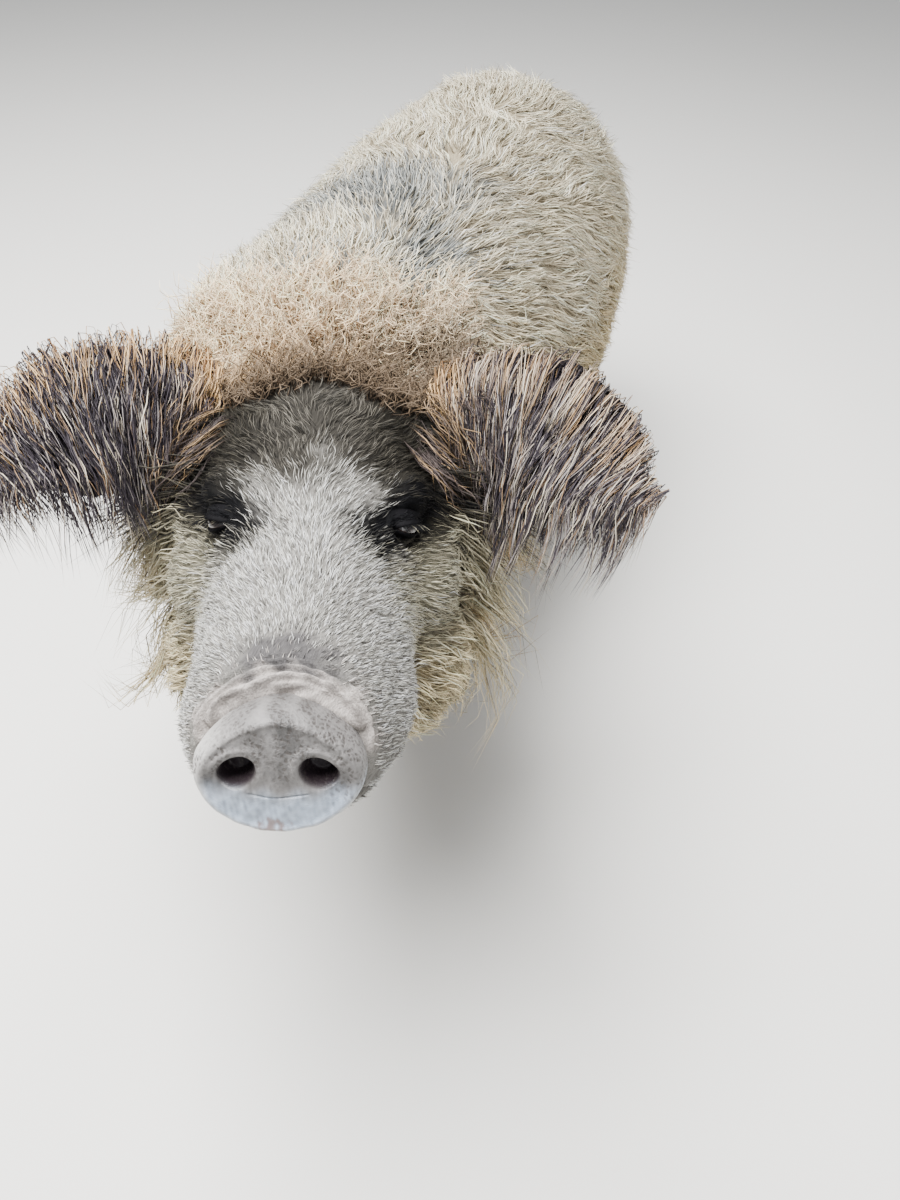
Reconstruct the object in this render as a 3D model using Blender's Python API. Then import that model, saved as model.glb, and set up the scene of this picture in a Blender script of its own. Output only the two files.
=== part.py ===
"""A mangalica sow standing with her head raised and turned a little to her left, as a life-size still model.

Metres, +Z up. She faces -Y, her left side is +X, and the floor is Z = 0. The origin is on the floor, under
the middle of the box that holds her.
"""

import math
import random

import bmesh
import bpy
from mathutils import Matrix, Vector
from mathutils.bvhtree import BVHTree

# Gap that touching pieces keep.
GAP = 0.0003
CUT_GAP = 0.00045
EAR_ROOM = 0.006

# Body: stations from the chest to the rump, as distance along Y, middle height, half height, half width.
TORSO = [
    (-0.52, 0.515, 0.130, 0.135),
    (-0.46, 0.505, 0.180, 0.180),
    (-0.36, 0.488, 0.212, 0.214),
    (-0.24, 0.476, 0.224, 0.230),
    (-0.08, 0.468, 0.232, 0.240),
    (0.08, 0.470, 0.238, 0.242),
    (0.22, 0.482, 0.230, 0.232),
    (0.34, 0.488, 0.208, 0.210),
    (0.44, 0.488, 0.170, 0.174),
    (0.50, 0.490, 0.120, 0.124),
    (0.525, 0.490, 0.060, 0.064),
]

# Neck: middle, half width and half height of its ring in the chest, of its middle ring, and of the ring in the
# head, and how much of the head's turn and raise the middle ring takes.
NECK_CHEST = (Vector((0.0, -0.30, 0.485)), 0.185, 0.190)
NECK_MIDDLE = (Vector((0.012, -0.445, 0.520)), 0.162, 0.168)
NECK_POLL = (Vector((0.0, 0.04, -0.040)), 0.138, 0.140)
NECK_TURN_SHARE = 0.5
NECK_RAISE_SHARE = 0.3

# Head: its frame stands at the poll, turned to the left and raised, and the snout is along its -Y.
POLL = Vector((0.080, -0.585, 0.565))
HEAD_TURN = math.radians(20)
HEAD_RAISE = math.radians(24)
HEAD_ROLL = math.radians(2)
HEAD = (
    Matrix.Translation(POLL)
    @ Matrix.Rotation(HEAD_TURN, 4, "Z")
    @ Matrix.Rotation(-HEAD_RAISE, 4, "X")
    @ Matrix.Rotation(HEAD_ROLL, 4, "Y")
)

# Stations of the skull and muzzle, as distance along the head's Y, middle height, half height, half width.
SKULL = [
    (0.16, -0.045, 0.120, 0.115),
    (0.08, -0.030, 0.142, 0.134),
    (0.00, -0.026, 0.142, 0.134),
    (-0.06, -0.034, 0.130, 0.120),
    (-0.11, -0.044, 0.112, 0.100),
    (-0.16, -0.056, 0.096, 0.086),
    (-0.21, -0.062, 0.080, 0.078),
    (-0.26, -0.068, 0.072, 0.074),
    (-0.30, -0.071, 0.064, 0.067),
    (-0.328, -0.070, 0.050, 0.056),
]

# Soft masses of the head, mirrored left and right: place in the head's frame, and half sizes.
JOWL = (Vector((0.074, -0.050, -0.112)), Vector((0.060, 0.115, 0.078)))
CHEEK = (Vector((0.076, -0.080, -0.040)), Vector((0.046, 0.070, 0.050)))
BROW = (Vector((0.066, -0.088, 0.034)), Vector((0.030, 0.034, 0.022)))
LIP = (Vector((0.044, -0.235, -0.076)), Vector((0.038, 0.085, 0.046)))
EAR_ROOT = (Vector((0.100, 0.012, 0.062)), Vector((0.034, 0.036, 0.034)))

# Lower jaw: stations along the head's Y, narrower than the muzzle.
JAW = [
    (0.02, -0.130, 0.066, 0.098),
    (-0.08, -0.138, 0.058, 0.090),
    (-0.16, -0.132, 0.046, 0.072),
    (-0.23, -0.120, 0.040, 0.056),
    (-0.290, -0.112, 0.028, 0.042),
]

# Snout disc: middle, half width and half height in the head's frame, and its profile as distance along its Y
# and share of the half sizes.
DISC_AT = Vector((0.0, -0.339, -0.069))
DISC_HALF_WIDTH = 0.0515
DISC_HALF_HEIGHT = 0.0410
DISC_LEAN = math.radians(10)
DISC_PROFILE = [(0.022, 0.86), (0.006, 0.93), (-0.002, 1.0), (-0.010, 1.0), (-0.015, 0.93), (-0.0165, 0.80)]
DISC_SIDES = 24
NOSTRIL_AT = Vector((0.0245, 0.0, 0.000))
NOSTRIL_HALF = Vector((0.0115, 0.026, 0.0085))
NOSTRIL_LEAN = math.radians(-24)
NOSTRIL_AHEAD = Vector((0.0, -0.012, 0.0))

# Eyes: the ball is a little smaller than its socket, and looks outwards through a leaning slit.
EYE_RADIUS = 0.0125
EYE_AT = Vector((0.0700, -0.118, 0.0165))
LID_THICK = 0.0035
SLIT_HALF = Vector((0.0115, 0.030, 0.0048))
SLIT_AHEAD = 0.010
SLIT_LEAN = math.radians(8)
EYE_OUT = math.radians(48)
BALL_SHARE = 0.985

# Mouth: a thin cut that runs back along both sides of the muzzle.
MOUTH_THICK = 0.0028
MOUTH_FRONT = -0.345
MOUTH_BACK = -0.165
MOUTH_HEIGHT = -0.104
MOUTH_RISE = 0.016
MOUTH_HALF_WIDTH = 0.12
MOUTH_STEPS = 5
MOUTH_SIDES = 8

# Legs: stations from the body down, as X, Y, Z of the middle and half sizes across and along.
FORELEG = [
    (0.118, -0.270, 0.420, 0.066, 0.100),
    (0.124, -0.270, 0.330, 0.062, 0.078),
    (0.124, -0.268, 0.255, 0.047, 0.056),
    (0.122, -0.266, 0.200, 0.038, 0.043),
    (0.120, -0.268, 0.165, 0.037, 0.040),
    (0.119, -0.266, 0.115, 0.029, 0.031),
    (0.118, -0.266, 0.070, 0.033, 0.035),
    (0.118, -0.274, 0.046, 0.034, 0.036),
    (0.118, -0.280, 0.030, 0.034, 0.038),
]
HINDLEG = [
    (0.112, 0.300, 0.440, 0.092, 0.140),
    (0.126, 0.318, 0.350, 0.082, 0.112),
    (0.132, 0.352, 0.280, 0.058, 0.078),
    (0.130, 0.392, 0.225, 0.041, 0.053),
    (0.126, 0.414, 0.185, 0.036, 0.044),
    (0.123, 0.404, 0.130, 0.029, 0.032),
    (0.121, 0.392, 0.075, 0.033, 0.036),
    (0.120, 0.380, 0.048, 0.034, 0.037),
    (0.120, 0.372, 0.030, 0.034, 0.038),
]
# Box that holds each leg below its cut: inner and outer X, front and back Y, and the height of the cut.
LEG_BOX = {
    "fore": (0.050, 0.215, -0.365, -0.165, 0.256),
    "hind": (0.050, 0.225, 0.262, 0.480, 0.262),
}

# Hooves: two claws under each leg, and two dewclaws behind it. A claw's levels are its height, its share of the
# half width, its front and its back.
HOOF_TOP = 0.036
HOOF_SIDES = 10
CLAW_HALF_WIDTH = 0.0165
CLAW_LENGTH = 0.072
CLAW_APART = 0.0185
CLAW_TOE = -CLAW_LENGTH * 0.62
CLAW_HEEL = CLAW_LENGTH * 0.38
CLAW_LEVELS = [
    (0.0, 1.00, CLAW_TOE, CLAW_HEEL),
    (0.012, 1.00, CLAW_TOE + 0.003, CLAW_HEEL),
    (HOOF_TOP * 0.7, 0.94, CLAW_TOE + 0.016, CLAW_HEEL - 0.002),
    (HOOF_TOP, 0.86, CLAW_TOE + 0.026, CLAW_HEEL - 0.008),
]
DEWCLAW_HEIGHT = 0.052
DEWCLAW_HALF = Vector((0.0085, 0.0100, 0.0140))
DEWCLAW_APART = 0.019
DEWCLAW_BACK = 0.040
DEWCLAW_LEAN = math.radians(-28)

# Tail: middle line and radius from the rump down.
TAIL = [
    (0.000, 0.500, 0.560, 0.024),
    (0.000, 0.535, 0.552, 0.020),
    (0.004, 0.560, 0.520, 0.016),
    (0.010, 0.570, 0.465, 0.013),
    (0.016, 0.572, 0.400, 0.011),
    (0.020, 0.574, 0.340, 0.008),
]
TAIL_STEPS = 11
TAIL_SIDES = 10
TAIL_AHEAD = 0.03

# Ears: the leaf's root, its middle line and half widths in the head's frame, for the left ear.
EAR_LINE = [
    (0.098, 0.010, 0.085),
    (0.142, -0.008, 0.098),
    (0.196, -0.030, 0.092),
    (0.246, -0.052, 0.062),
    (0.278, -0.068, 0.022),
]
EAR_HALF_WIDTH = [0.040, 0.062, 0.072, 0.058, 0.012]
EAR_CUP = [0.030, 0.034, 0.028, 0.018, 0.004]
EAR_THICK = 0.0065
EAR_HANG = Vector((0.10, -0.62, -0.78))
EAR_AHEAD = 0.05
EAR_LENGTHS = 7
EAR_WIDTHS = 5

# Cuts between head, neck and body: a point and the way the cut faces.
NAPE_CUT = (Vector((0.0, 0.075, 0.0)), Vector((0.0, 1.0, 0.12)))
SHOULDER_CUT = (Vector((0.0, -0.400, 0.500)), Vector((-0.08, 1.0, 0.10)))

# Meshes.
FLESH_VOXEL = 0.0075
FLESH_SMOOTHING = 7
BODY_SIDES = 32
LEG_SIDES = 20
FLESH_TRIANGLES = 4800
CORE_TRIANGLES = 2900
HEAD_DETAIL = 0.16
CUT_SIDE = 3.0
FLOOR_MARGIN = -0.1

# Locks: length, width, thickness and how far the tips stand out of the core.
BODY_LOCK = (0.170, 0.124, 0.015, 0.024)
JOWL_LOCK = (0.090, 0.060, 0.010, 0.014)
EAR_LOCK = (0.105, 0.036, 0.006, 0.012)
TAIL_LOCK = (0.100, 0.022, 0.010, 0.014)
FRINGE_LOCKS = 14
FRINGE_DROP = Vector((0.0, 0.0, -1.2))
FRINGE_FROM = 0.10
FRINGE_SPAN = 0.80
FRINGE_START = (0.10, 0.50)
FRINGE_DRIFT = (-0.03, 0.05)
TASSEL_LOCKS = 7
TASSEL_FROM = 0.62
TASSEL_SPAN = 0.36
TASSEL_TURN = 2.4
LOCK_TAPER = [0.75, 1.0, 0.72, 0.10]
LOCK_SINK = 0.012
LOCK_WAVE = 0.13
LOCK_SIDES = 3
LOCK_HALF_SHARE = 0.58
LOCK_SWING = (0.6, 1.2)
LOCK_PHASE = (-0.4, 0.4)
LOCK_GROWN = (0.86, 1.14)
LOCK_VARIED = (0.92, 1.08)
SEED = 6
SHORTEST_EDGE = 0.00001

# Where the body's locks grow: rows along Y, and how far round from the top of the back.
COAT_FROM = -0.500
COAT_TO = 0.470
COAT_ROW = 0.104
COAT_ACROSS = 0.120
COAT_ROUND = math.radians(132)
COAT_AXIS_HEIGHT = 0.49
COAT_STRAY_ROUND = 0.06
COAT_STRAY_ALONG = 0.05
NECK_FROM = 0.3
FEWEST_LOCKS = 4
RUMP_LOCKS = 9
RUMP_MIDDLE = Vector((0.0, 0.38, 0.49))
RUMP_ROUND = math.radians(125)
RUMP_OUT = 0.75
TAIL_ROOM_X = 0.06
TAIL_ROOM_Y = 0.47

# The ruff's locks on each jowl: rows along the head's Y, degrees round from the top, and their middle.
JOWL_ROWS = (-0.060, 0.020)
JOWL_LOCKS = 4
JOWL_FIRST = 86
JOWL_STEP = 20
JOWL_STAGGER = 10
JOWL_MIDDLE_X = 0.03
JOWL_MIDDLE_Z = -0.06

# The crest of curls between the ears, in the head's frame.
CREST_FROM = Vector((-0.112, -0.048))
CREST_TO = Vector((0.112, 0.050))
CREST_ROWS = 3
CREST_CLUMPS = 7
CREST_SIDES = 7
CREST_RINGS = 4
CREST_RADIUS = 0.0205
CREST_SINK = 0.35
CREST_STRAY = 0.003
CREST_BOW = 0.35
CREST_AHEAD = 0.02
CREST_ABOVE = 0.30
CREST_WIDE = 1.15
CREST_GROWN = (0.85, 1.15)

COLOURS = {
    "coat": (0.62, 0.55, 0.43),
    "face": (0.48, 0.45, 0.39),
    "ear": (0.16, 0.12, 0.10),
    "snout": (0.45, 0.43, 0.41),
    "eye": (0.03, 0.02, 0.015),
    "horn": (0.07, 0.06, 0.055),
}
ROUGHNESS = {"coat": 0.85, "face": 0.85, "ear": 0.8, "snout": 0.45, "eye": 0.12, "horn": 0.5}


def material(name):
    """The material of one part of the body."""
    made = bpy.data.materials.get(name)
    if made is None:
        made = bpy.data.materials.new(name)
        made.use_nodes = True
        shader = made.node_tree.nodes["Principled BSDF"]
        shader.inputs["Base Color"].default_value = (*COLOURS[name], 1.0)
        shader.inputs["Roughness"].default_value = ROUGHNESS[name]
        shader.inputs["Metallic"].default_value = 0.0
    return made


def as_object(name, shape, finish=None):
    """An object from a bmesh, which is freed."""
    bmesh.ops.recalc_face_normals(shape, faces=shape.faces[:])
    mesh = bpy.data.meshes.new(name)
    shape.to_mesh(mesh)
    shape.free()
    obj = bpy.data.objects.new(name, mesh)
    bpy.context.scene.collection.objects.link(obj)
    if finish:
        mesh.materials.append(material(finish))
    return obj


def apply_modifiers(obj):
    """Puts the evaluated mesh in place of the object's mesh and drops its modifiers."""
    graph = bpy.context.evaluated_depsgraph_get()
    graph.update()
    mesh = bpy.data.meshes.new_from_object(obj.evaluated_get(graph))
    finish = obj.data.materials[0] if obj.data.materials else None
    obj.modifiers.clear()
    obj.data = mesh
    mesh.materials.clear()
    if finish:
        mesh.materials.append(finish)


def copy_of(obj, name):
    """A second object with its own mesh."""
    twin = obj.copy()
    twin.data = obj.data.copy()
    twin.name = name
    bpy.context.scene.collection.objects.link(twin)
    return twin


def remove(*objects):
    """Takes helpers away once they have been used."""
    for obj in objects:
        bpy.data.objects.remove(obj)


def combine(obj, other, operation):
    """One Boolean with another object, applied."""
    modifier = obj.modifiers.new("combine", "BOOLEAN")
    modifier.operation = operation
    modifier.solver = "MANIFOLD"
    modifier.object = other
    apply_modifiers(obj)


def loft(shape, rings, sides):
    """Adds a closed skin over rings, each given as the matrix that places a unit circle."""
    previous = None
    for ring in rings:
        circle = bmesh.ops.create_circle(shape, cap_ends=False, segments=sides, radius=1.0, matrix=ring)["verts"]
        edges = list({edge for vert in circle for edge in vert.link_edges})
        if previous is None:
            bmesh.ops.contextual_create(shape, geom=edges)
        else:
            bmesh.ops.bridge_loops(shape, edges=previous + edges)
        previous = edges
    bmesh.ops.contextual_create(shape, geom=previous)


def upright_ring(centre, half_width, half_height):
    """A ring that stands across Y."""
    return (
        Matrix.Translation(centre)
        @ Matrix.Diagonal((half_width, 1.0, half_height, 1.0))
        @ Matrix.Rotation(math.radians(90), 4, "X")
    )


def ellipsoid(shape, centre, half, turn=None, fineness=3):
    """Adds an ellipsoid with the given half sizes."""
    place = Matrix.Translation(centre) @ (turn or Matrix.Identity(4)) @ Matrix.Diagonal((*half, 1.0))
    bmesh.ops.create_icosphere(shape, subdivisions=fineness, radius=1.0, matrix=place)


def mirrored(point, side):
    """The point on the given side, where 1 is left and -1 is right."""
    return Vector((point[0] * side, point[1], point[2]))


def spline(points, t):
    """A smooth curve through the points, of any number of values each, at t from 0 to 1."""
    spans = len(points) - 1
    at = min(max(t, 0.0), 1.0) * spans
    i = min(int(at), spans - 1)
    u = at - i
    a, b = points[max(i - 1, 0)], points[i]
    c, d = points[i + 1], points[min(i + 2, spans)]
    return [
        0.5 * (2 * q + (r - p) * u + (2 * p - 5 * q + 4 * r - s) * u * u + (3 * q - p - 3 * r + s) * u**3)
        for p, q, r, s in zip(a, b, c, d)
    ]


def torso_mass():
    """Chest, belly and rump."""
    shape = bmesh.new()
    loft(shape, [upright_ring(Vector((0, y, z)), wide, tall) for y, z, tall, wide in TORSO], BODY_SIDES)
    return as_object("torso_mass", shape)


def neck_mass():
    """The short thick neck, from inside the chest to inside the skull."""
    shape = bmesh.new()
    middle = (
        Matrix.Translation(NECK_MIDDLE[0])
        @ Matrix.Rotation(HEAD_TURN * NECK_TURN_SHARE, 4, "Z")
        @ Matrix.Rotation(-HEAD_RAISE * NECK_RAISE_SHARE, 4, "X")
        @ upright_ring(Vector(), *NECK_MIDDLE[1:])
    )
    loft(shape, [upright_ring(*NECK_CHEST), middle, HEAD @ upright_ring(*NECK_POLL)], BODY_SIDES)
    return as_object("neck_mass", shape)


def head_mass():
    """Skull, muzzle, lower jaw and the soft masses of the face."""
    shape = bmesh.new()
    loft(shape, [HEAD @ upright_ring(Vector((0, y, z)), wide, tall) for y, z, tall, wide in SKULL], BODY_SIDES)
    loft(shape, [HEAD @ upright_ring(Vector((0, y, z)), wide, tall) for y, z, tall, wide in JAW], LEG_SIDES)
    turn = HEAD.to_3x3().to_4x4()
    for side in (1, -1):
        for centre, half in (JOWL, CHEEK, BROW, LIP, EAR_ROOT):
            ellipsoid(shape, HEAD @ mirrored(centre, side), half, turn)
    return as_object("head_mass", shape)


def leg_mass(stations, side):
    """One leg, from inside the body to the hooves."""
    shape = bmesh.new()
    rings = []
    for x, y, z, across, along in stations:
        place = Matrix.Translation((x * side, y, z)) @ Matrix.Diagonal((across, along, 1.0, 1.0))
        rings.append(place)
    loft(shape, rings, LEG_SIDES)
    return as_object("leg_mass", shape)


def thin_to(obj, triangles, group=""):
    """Collapses an object to about the given number of triangles, only in the group where one is named."""
    obj.data.calc_loop_triangles()
    thin = obj.modifiers.new("thin", "DECIMATE")
    thin.ratio = triangles / len(obj.data.loop_triangles)
    thin.vertex_group = group
    apply_modifiers(obj)


def protect_head(whole):
    """Marks the body behind the head, which is thinned harder than the face."""
    group = whole.vertex_groups.new(name="body")
    inward = HEAD.inverted()
    for vert in whole.data.vertices:
        group.add([vert.index], 1.0 if (inward @ vert.co).y > HEAD_DETAIL else 0.0, "REPLACE")
    return group.name


def flesh():
    """All the masses as one smooth closed body."""
    masses = [torso_mass(), neck_mass(), head_mass()]
    masses += [leg_mass(stations, side) for stations in (FORELEG, HINDLEG) for side in (1, -1)]
    shape = bmesh.new()
    for mass in masses:
        shape.from_mesh(mass.data)
    whole = as_object("flesh", shape)
    remove(*masses)
    merge = whole.modifiers.new("merge", "REMESH")
    merge.mode = "VOXEL"
    merge.voxel_size = FLESH_VOXEL
    smooth = whole.modifiers.new("smooth", "SMOOTH")
    smooth.factor = 0.5
    smooth.iterations = FLESH_SMOOTHING
    apply_modifiers(whole)
    thin_to(whole, FLESH_TRIANGLES)
    thin_to(whole, CORE_TRIANGLES, protect_head(whole))
    return whole


def surface_of(obj):
    """The object's surface, for finding the nearest point and where a ray meets it."""
    shape = bmesh.new()
    shape.from_mesh(obj.data)
    tree = BVHTree.FromBMesh(shape)
    shape.free()
    return tree


def lock_line(surface, root, lie, sizes, rng):
    """The middle line of a lock that follows the surface, with its directions at each ring."""
    length, _, _, rise = sizes
    steps = len(LOCK_TAPER) - 1
    wave = LOCK_WAVE * length * rng.uniform(*LOCK_SWING)
    phase = rng.choice((0.0, math.pi)) + rng.uniform(*LOCK_PHASE)
    here, out = surface.find_nearest(root)[:2]
    line = []
    for i in range(steps + 1):
        t = i / steps
        along = lie(out)
        across = out.cross(along).normalized()
        lift = -LOCK_SINK + (rise + LOCK_SINK) * math.sin(t * math.pi / 2)
        bend = wave * t * math.sin(2 * math.pi * t + phase)
        line.append((here + out * lift + across * bend, along, across, out))
        here, out = surface.find_nearest(here + along * (length / steps))[:2]
    return line


def add_lock(shape, line, sizes):
    """One closed, flat, tapered lock on its middle line."""
    _, width, thick, _ = sizes
    rings = []
    for (place, along, across, out), size in zip(line, LOCK_TAPER):
        turn = Matrix((across, out, along)).transposed().to_4x4()
        flat = Matrix.Diagonal((width * LOCK_HALF_SHARE * size, thick * size, 1, 1))
        rings.append(Matrix.Translation(place) @ turn @ flat)
    loft(shape, rings, LOCK_SIDES)


def varied(sizes, rng):
    """Sizes of one lock, a little off the named ones."""
    grown = rng.uniform(*LOCK_GROWN)
    return tuple(size * grown * rng.uniform(*LOCK_VARIED) for size in sizes)


def tangent(way, out):
    """A direction laid flat on the surface."""
    flat = way - out * way.dot(out)
    return flat.normalized()


def body_lie(out):
    """The coat lies back along the body, and down on flanks and rump."""
    aside = 0.35 * (1 if out.x > 0 else -1) * max(out.z, 0.0)
    return tangent(Vector((aside, 1.0, -0.25 - 0.85 * abs(out.x))), out)


def body_roots(surface, rng):
    """Roots of the locks from the nape to the rump, in staggered rows."""
    roots = []
    rows = round((COAT_TO - COAT_FROM) / COAT_ROW)
    for row in range(rows + 1):
        y = COAT_FROM + (COAT_TO - COAT_FROM) * row / rows
        middle = Vector((POLL.x * max(0.0, -NECK_FROM - y), y, COAT_AXIS_HEIGHT))
        top = surface.ray_cast(middle, Vector((0, 0, 1)))[0]
        count = max(FEWEST_LOCKS, round(2 * COAT_ROUND * (top - middle).length / COAT_ACROSS))
        for k in range(count):
            share = (k + 0.25 + 0.5 * (row % 2)) / count
            turn = COAT_ROUND * (2 * share - 1) + rng.uniform(-COAT_STRAY_ROUND, COAT_STRAY_ROUND)
            stray = rng.uniform(-COAT_STRAY_ALONG, COAT_STRAY_ALONG)
            roots.append(surface.ray_cast(middle, Vector((math.sin(turn), stray, math.cos(turn))))[0])
    for k in range(RUMP_LOCKS):
        turn = RUMP_ROUND * (2 * (k + 0.5) / RUMP_LOCKS - 1)
        way = Vector((RUMP_OUT * math.sin(turn), 1.0, RUMP_OUT * math.cos(turn)))
        roots.append(surface.ray_cast(RUMP_MIDDLE, way)[0])
    return roots


def clear_of_tail(line):
    """Whether a lock leaves room for the tail."""
    return all(abs(place.x) > TAIL_ROOM_X or place.y < TAIL_ROOM_Y for place, *_ in line[1:])


def jowl_lie(out):
    """The hair of jowls and throat lies back and down."""
    return tangent(HEAD.to_3x3() @ Vector((0.0, 0.80, -0.60)), out)


def jowl_roots(surface):
    """Roots of the ruff on both jowls."""
    roots = []
    turned = HEAD.to_3x3()
    for side in (1, -1):
        for row, y in enumerate(JOWL_ROWS):
            for k in range(JOWL_LOCKS):
                turn = math.radians(JOWL_FIRST + JOWL_STEP * k + JOWL_STAGGER * (row % 2)) * side
                middle = HEAD @ Vector((JOWL_MIDDLE_X * side, y, JOWL_MIDDLE_Z))
                hit = surface.ray_cast(middle, turned @ Vector((math.sin(turn), 0.0, math.cos(turn))))[0]
                roots.append(hit)
    return roots


def add_crest(collection, surface, ears, rng):
    """Rounded clumps of curls, set close across the poll."""
    down = HEAD.to_3x3() @ Vector((0, 0, -1))
    for row in range(CREST_ROWS):
        for k in range(CREST_CLUMPS):
            u = (k + 0.5 * (row % 2)) / (CREST_CLUMPS - 0.5)
            x = CREST_FROM.x + (CREST_TO.x - CREST_FROM.x) * u + rng.uniform(-CREST_STRAY, CREST_STRAY)
            y = CREST_FROM.y + (CREST_TO.y - CREST_FROM.y) * row / (CREST_ROWS - 1)
            y += rng.uniform(-CREST_STRAY, CREST_STRAY)
            y += CREST_BOW * abs(x) - CREST_AHEAD
            place, out = surface.ray_cast(HEAD @ Vector((x, y, CREST_ABOVE)), down)[:2]
            radius = CREST_RADIUS * rng.uniform(*CREST_GROWN)
            half = Vector((radius * CREST_WIDE, radius * CREST_WIDE, radius))
            if not clear_of_ears([place], half.x, ears):
                continue
            shape = bmesh.new()
            turn = out.to_track_quat("Z", "Y").to_matrix().to_4x4()
            spin = Matrix.Rotation(rng.uniform(0, math.pi), 4, "Z")
            at = Matrix.Translation(place + out * radius * (1 - 2 * CREST_SINK)) @ turn @ spin
            bmesh.ops.create_uvsphere(
                shape,
                u_segments=CREST_SIDES,
                v_segments=CREST_RINGS,
                radius=1.0,
                matrix=at @ Matrix.Diagonal((*half, 1)),
            )
            collection.objects.link(unlinked("clump", shape))


def unlinked(name, shape):
    """A helper object that isn't in the scene's own collection."""
    obj = as_object(name, shape)
    bpy.context.scene.collection.objects.unlink(obj)
    return obj


def fuse(obj, collection):
    """Joins all the bodies of a collection to an object by one Boolean union, and removes them."""
    bpy.context.scene.collection.children.link(collection)
    modifier = obj.modifiers.new("fuse", "BOOLEAN")
    modifier.operation = "UNION"
    modifier.solver = "MANIFOLD"
    modifier.operand_type = "COLLECTION"
    modifier.collection = collection
    apply_modifiers(obj)
    remove(*collection.objects)
    bpy.data.collections.remove(collection)


def clear_of_ears(places, reach, ears):
    """Whether all the places are further than the reach from both ears, with some room."""
    return all(ear.find_nearest(place)[3] > reach + EAR_ROOM for ear in ears for place in places)


def grow_coat(whole, ears):
    """Locks over neck, back, flanks, rump and jowls, and the crest, all fused to the body, clear of the ears."""
    rng = random.Random(SEED)
    surface = surface_of(whole)
    coat = bpy.data.collections.new("coat")
    plans = [(root, body_lie, BODY_LOCK) for root in body_roots(surface, rng)]
    plans += [(root, jowl_lie, JOWL_LOCK) for root in jowl_roots(surface)]
    for root, lie, named_sizes in plans:
        sizes = varied(named_sizes, rng)
        line = lock_line(surface, root, lie, sizes, rng)
        half_width = sizes[1] / 2
        if clear_of_tail(line) and clear_of_ears([place for place, *_ in line], half_width, ears):
            shape = bmesh.new()
            add_lock(shape, line, sizes)
            coat.objects.link(unlinked("lock", shape))
    add_crest(coat, surface, ears, rng)
    fuse(whole, coat)


def halfspace(point, facing, offset):
    """A large box whose near face lies on the plane, moved along its facing by the offset."""
    facing = facing.normalized()
    turn = facing.to_track_quat("Z", "Y").to_matrix().to_4x4()
    shape = bmesh.new()
    place = Matrix.Translation(point + facing * offset) @ turn @ Matrix.Translation((0, 0, CUT_SIDE / 2))
    bmesh.ops.create_cube(shape, size=CUT_SIDE, matrix=place)
    return as_object("halfspace", shape)


def box(low, high):
    """A box between two corners."""
    shape = bmesh.new()
    low, high = Vector(low), Vector(high)
    place = Matrix.Translation((low + high) / 2) @ Matrix.Diagonal((*(high - low), 1.0))
    bmesh.ops.create_cube(shape, size=1.0, matrix=place)
    return as_object("box", shape)


def part_by_plane(whole, point, facing, front_name, back_name):
    """Cuts a body by a thin plane and returns the piece in front of it and the piece behind."""
    pieces = []
    for name, way in ((front_name, 1), (back_name, -1)):
        piece = copy_of(whole, name)
        keep = halfspace(point, facing * way, GAP / 2)
        combine(piece, keep, "INTERSECT")
        remove(keep)
        pieces.append(piece)
    remove(whole)
    return pieces


def leg_region(kind, side, grown):
    """The box that holds one leg below its cut, grown by a gap."""
    inner, outer, front, back, top = LEG_BOX[kind]
    low = Vector((min(inner * side, outer * side), front, FLOOR_MARGIN))
    high = Vector((max(inner * side, outer * side), back, top))
    margin = Vector((grown, grown, grown))
    return box(low - margin, high + margin)


def part_legs(body):
    """Cuts the four legs from the body and returns them by name."""
    legs = {}
    for kind in LEG_BOX:
        for side_name, side in (("left", 1), ("right", -1)):
            name = f"{kind}leg_{side_name}"
            leg = copy_of(body, name)
            region = leg_region(kind, side, 0.0)
            combine(leg, region, "INTERSECT")
            remove(region)
            region = leg_region(kind, side, GAP)
            combine(body, region, "DIFFERENCE")
            remove(region)
            legs[name] = leg
    return legs


def grown_copy(obj, amount):
    """A copy whose surface stands out by the amount, to cut a neighbour clear of it."""
    grown = copy_of(obj, obj.name + "_grown")
    push = grown.modifiers.new("push", "DISPLACE")
    push.strength = amount
    push.mid_level = 0.0
    apply_modifiers(grown)
    return grown


def keep_clear(obj, neighbour):
    """Cuts an object so that it keeps the gap to its neighbour."""
    grown = grown_copy(neighbour, CUT_GAP)
    combine(obj, grown, "DIFFERENCE")
    remove(grown)


def drop_flaps(shape):
    """Takes away pairs of faces that lie back to back on the same corners."""
    seen = {}
    doubles = []
    for face in shape.faces:
        corners = frozenset(face.verts)
        if corners in seen:
            doubles += [face, seen[corners]]
        seen[corners] = face
    bmesh.ops.delete(shape, geom=doubles, context="FACES")


def largest_body(obj):
    """Keeps only the largest closed surface of an object, without edges too short to matter."""
    shape = bmesh.new()
    shape.from_mesh(obj.data)
    bmesh.ops.triangulate(shape, faces=shape.faces[:])
    bmesh.ops.dissolve_degenerate(shape, edges=shape.edges[:], dist=SHORTEST_EDGE)
    drop_flaps(shape)
    left = set(shape.faces)
    groups = []
    while left:
        start = left.pop()
        group, edge_of = [start], [start]
        while edge_of:
            face = edge_of.pop()
            for edge in face.edges:
                for other in edge.link_faces:
                    if other in left:
                        left.remove(other)
                        group.append(other)
                        edge_of.append(other)
        groups.append(group)
    groups.sort(key=lambda faces: sum(face.calc_area() for face in faces))
    extra = [face for group in groups[:-1] for face in group]
    bmesh.ops.delete(shape, geom=extra, context="FACES")
    shape.to_mesh(obj.data)
    shape.free()


def snout_frame():
    """The frame of the snout disc, whose -Y is the way it faces."""
    return HEAD @ Matrix.Translation(DISC_AT) @ Matrix.Rotation(DISC_LEAN, 4, "X")


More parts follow.
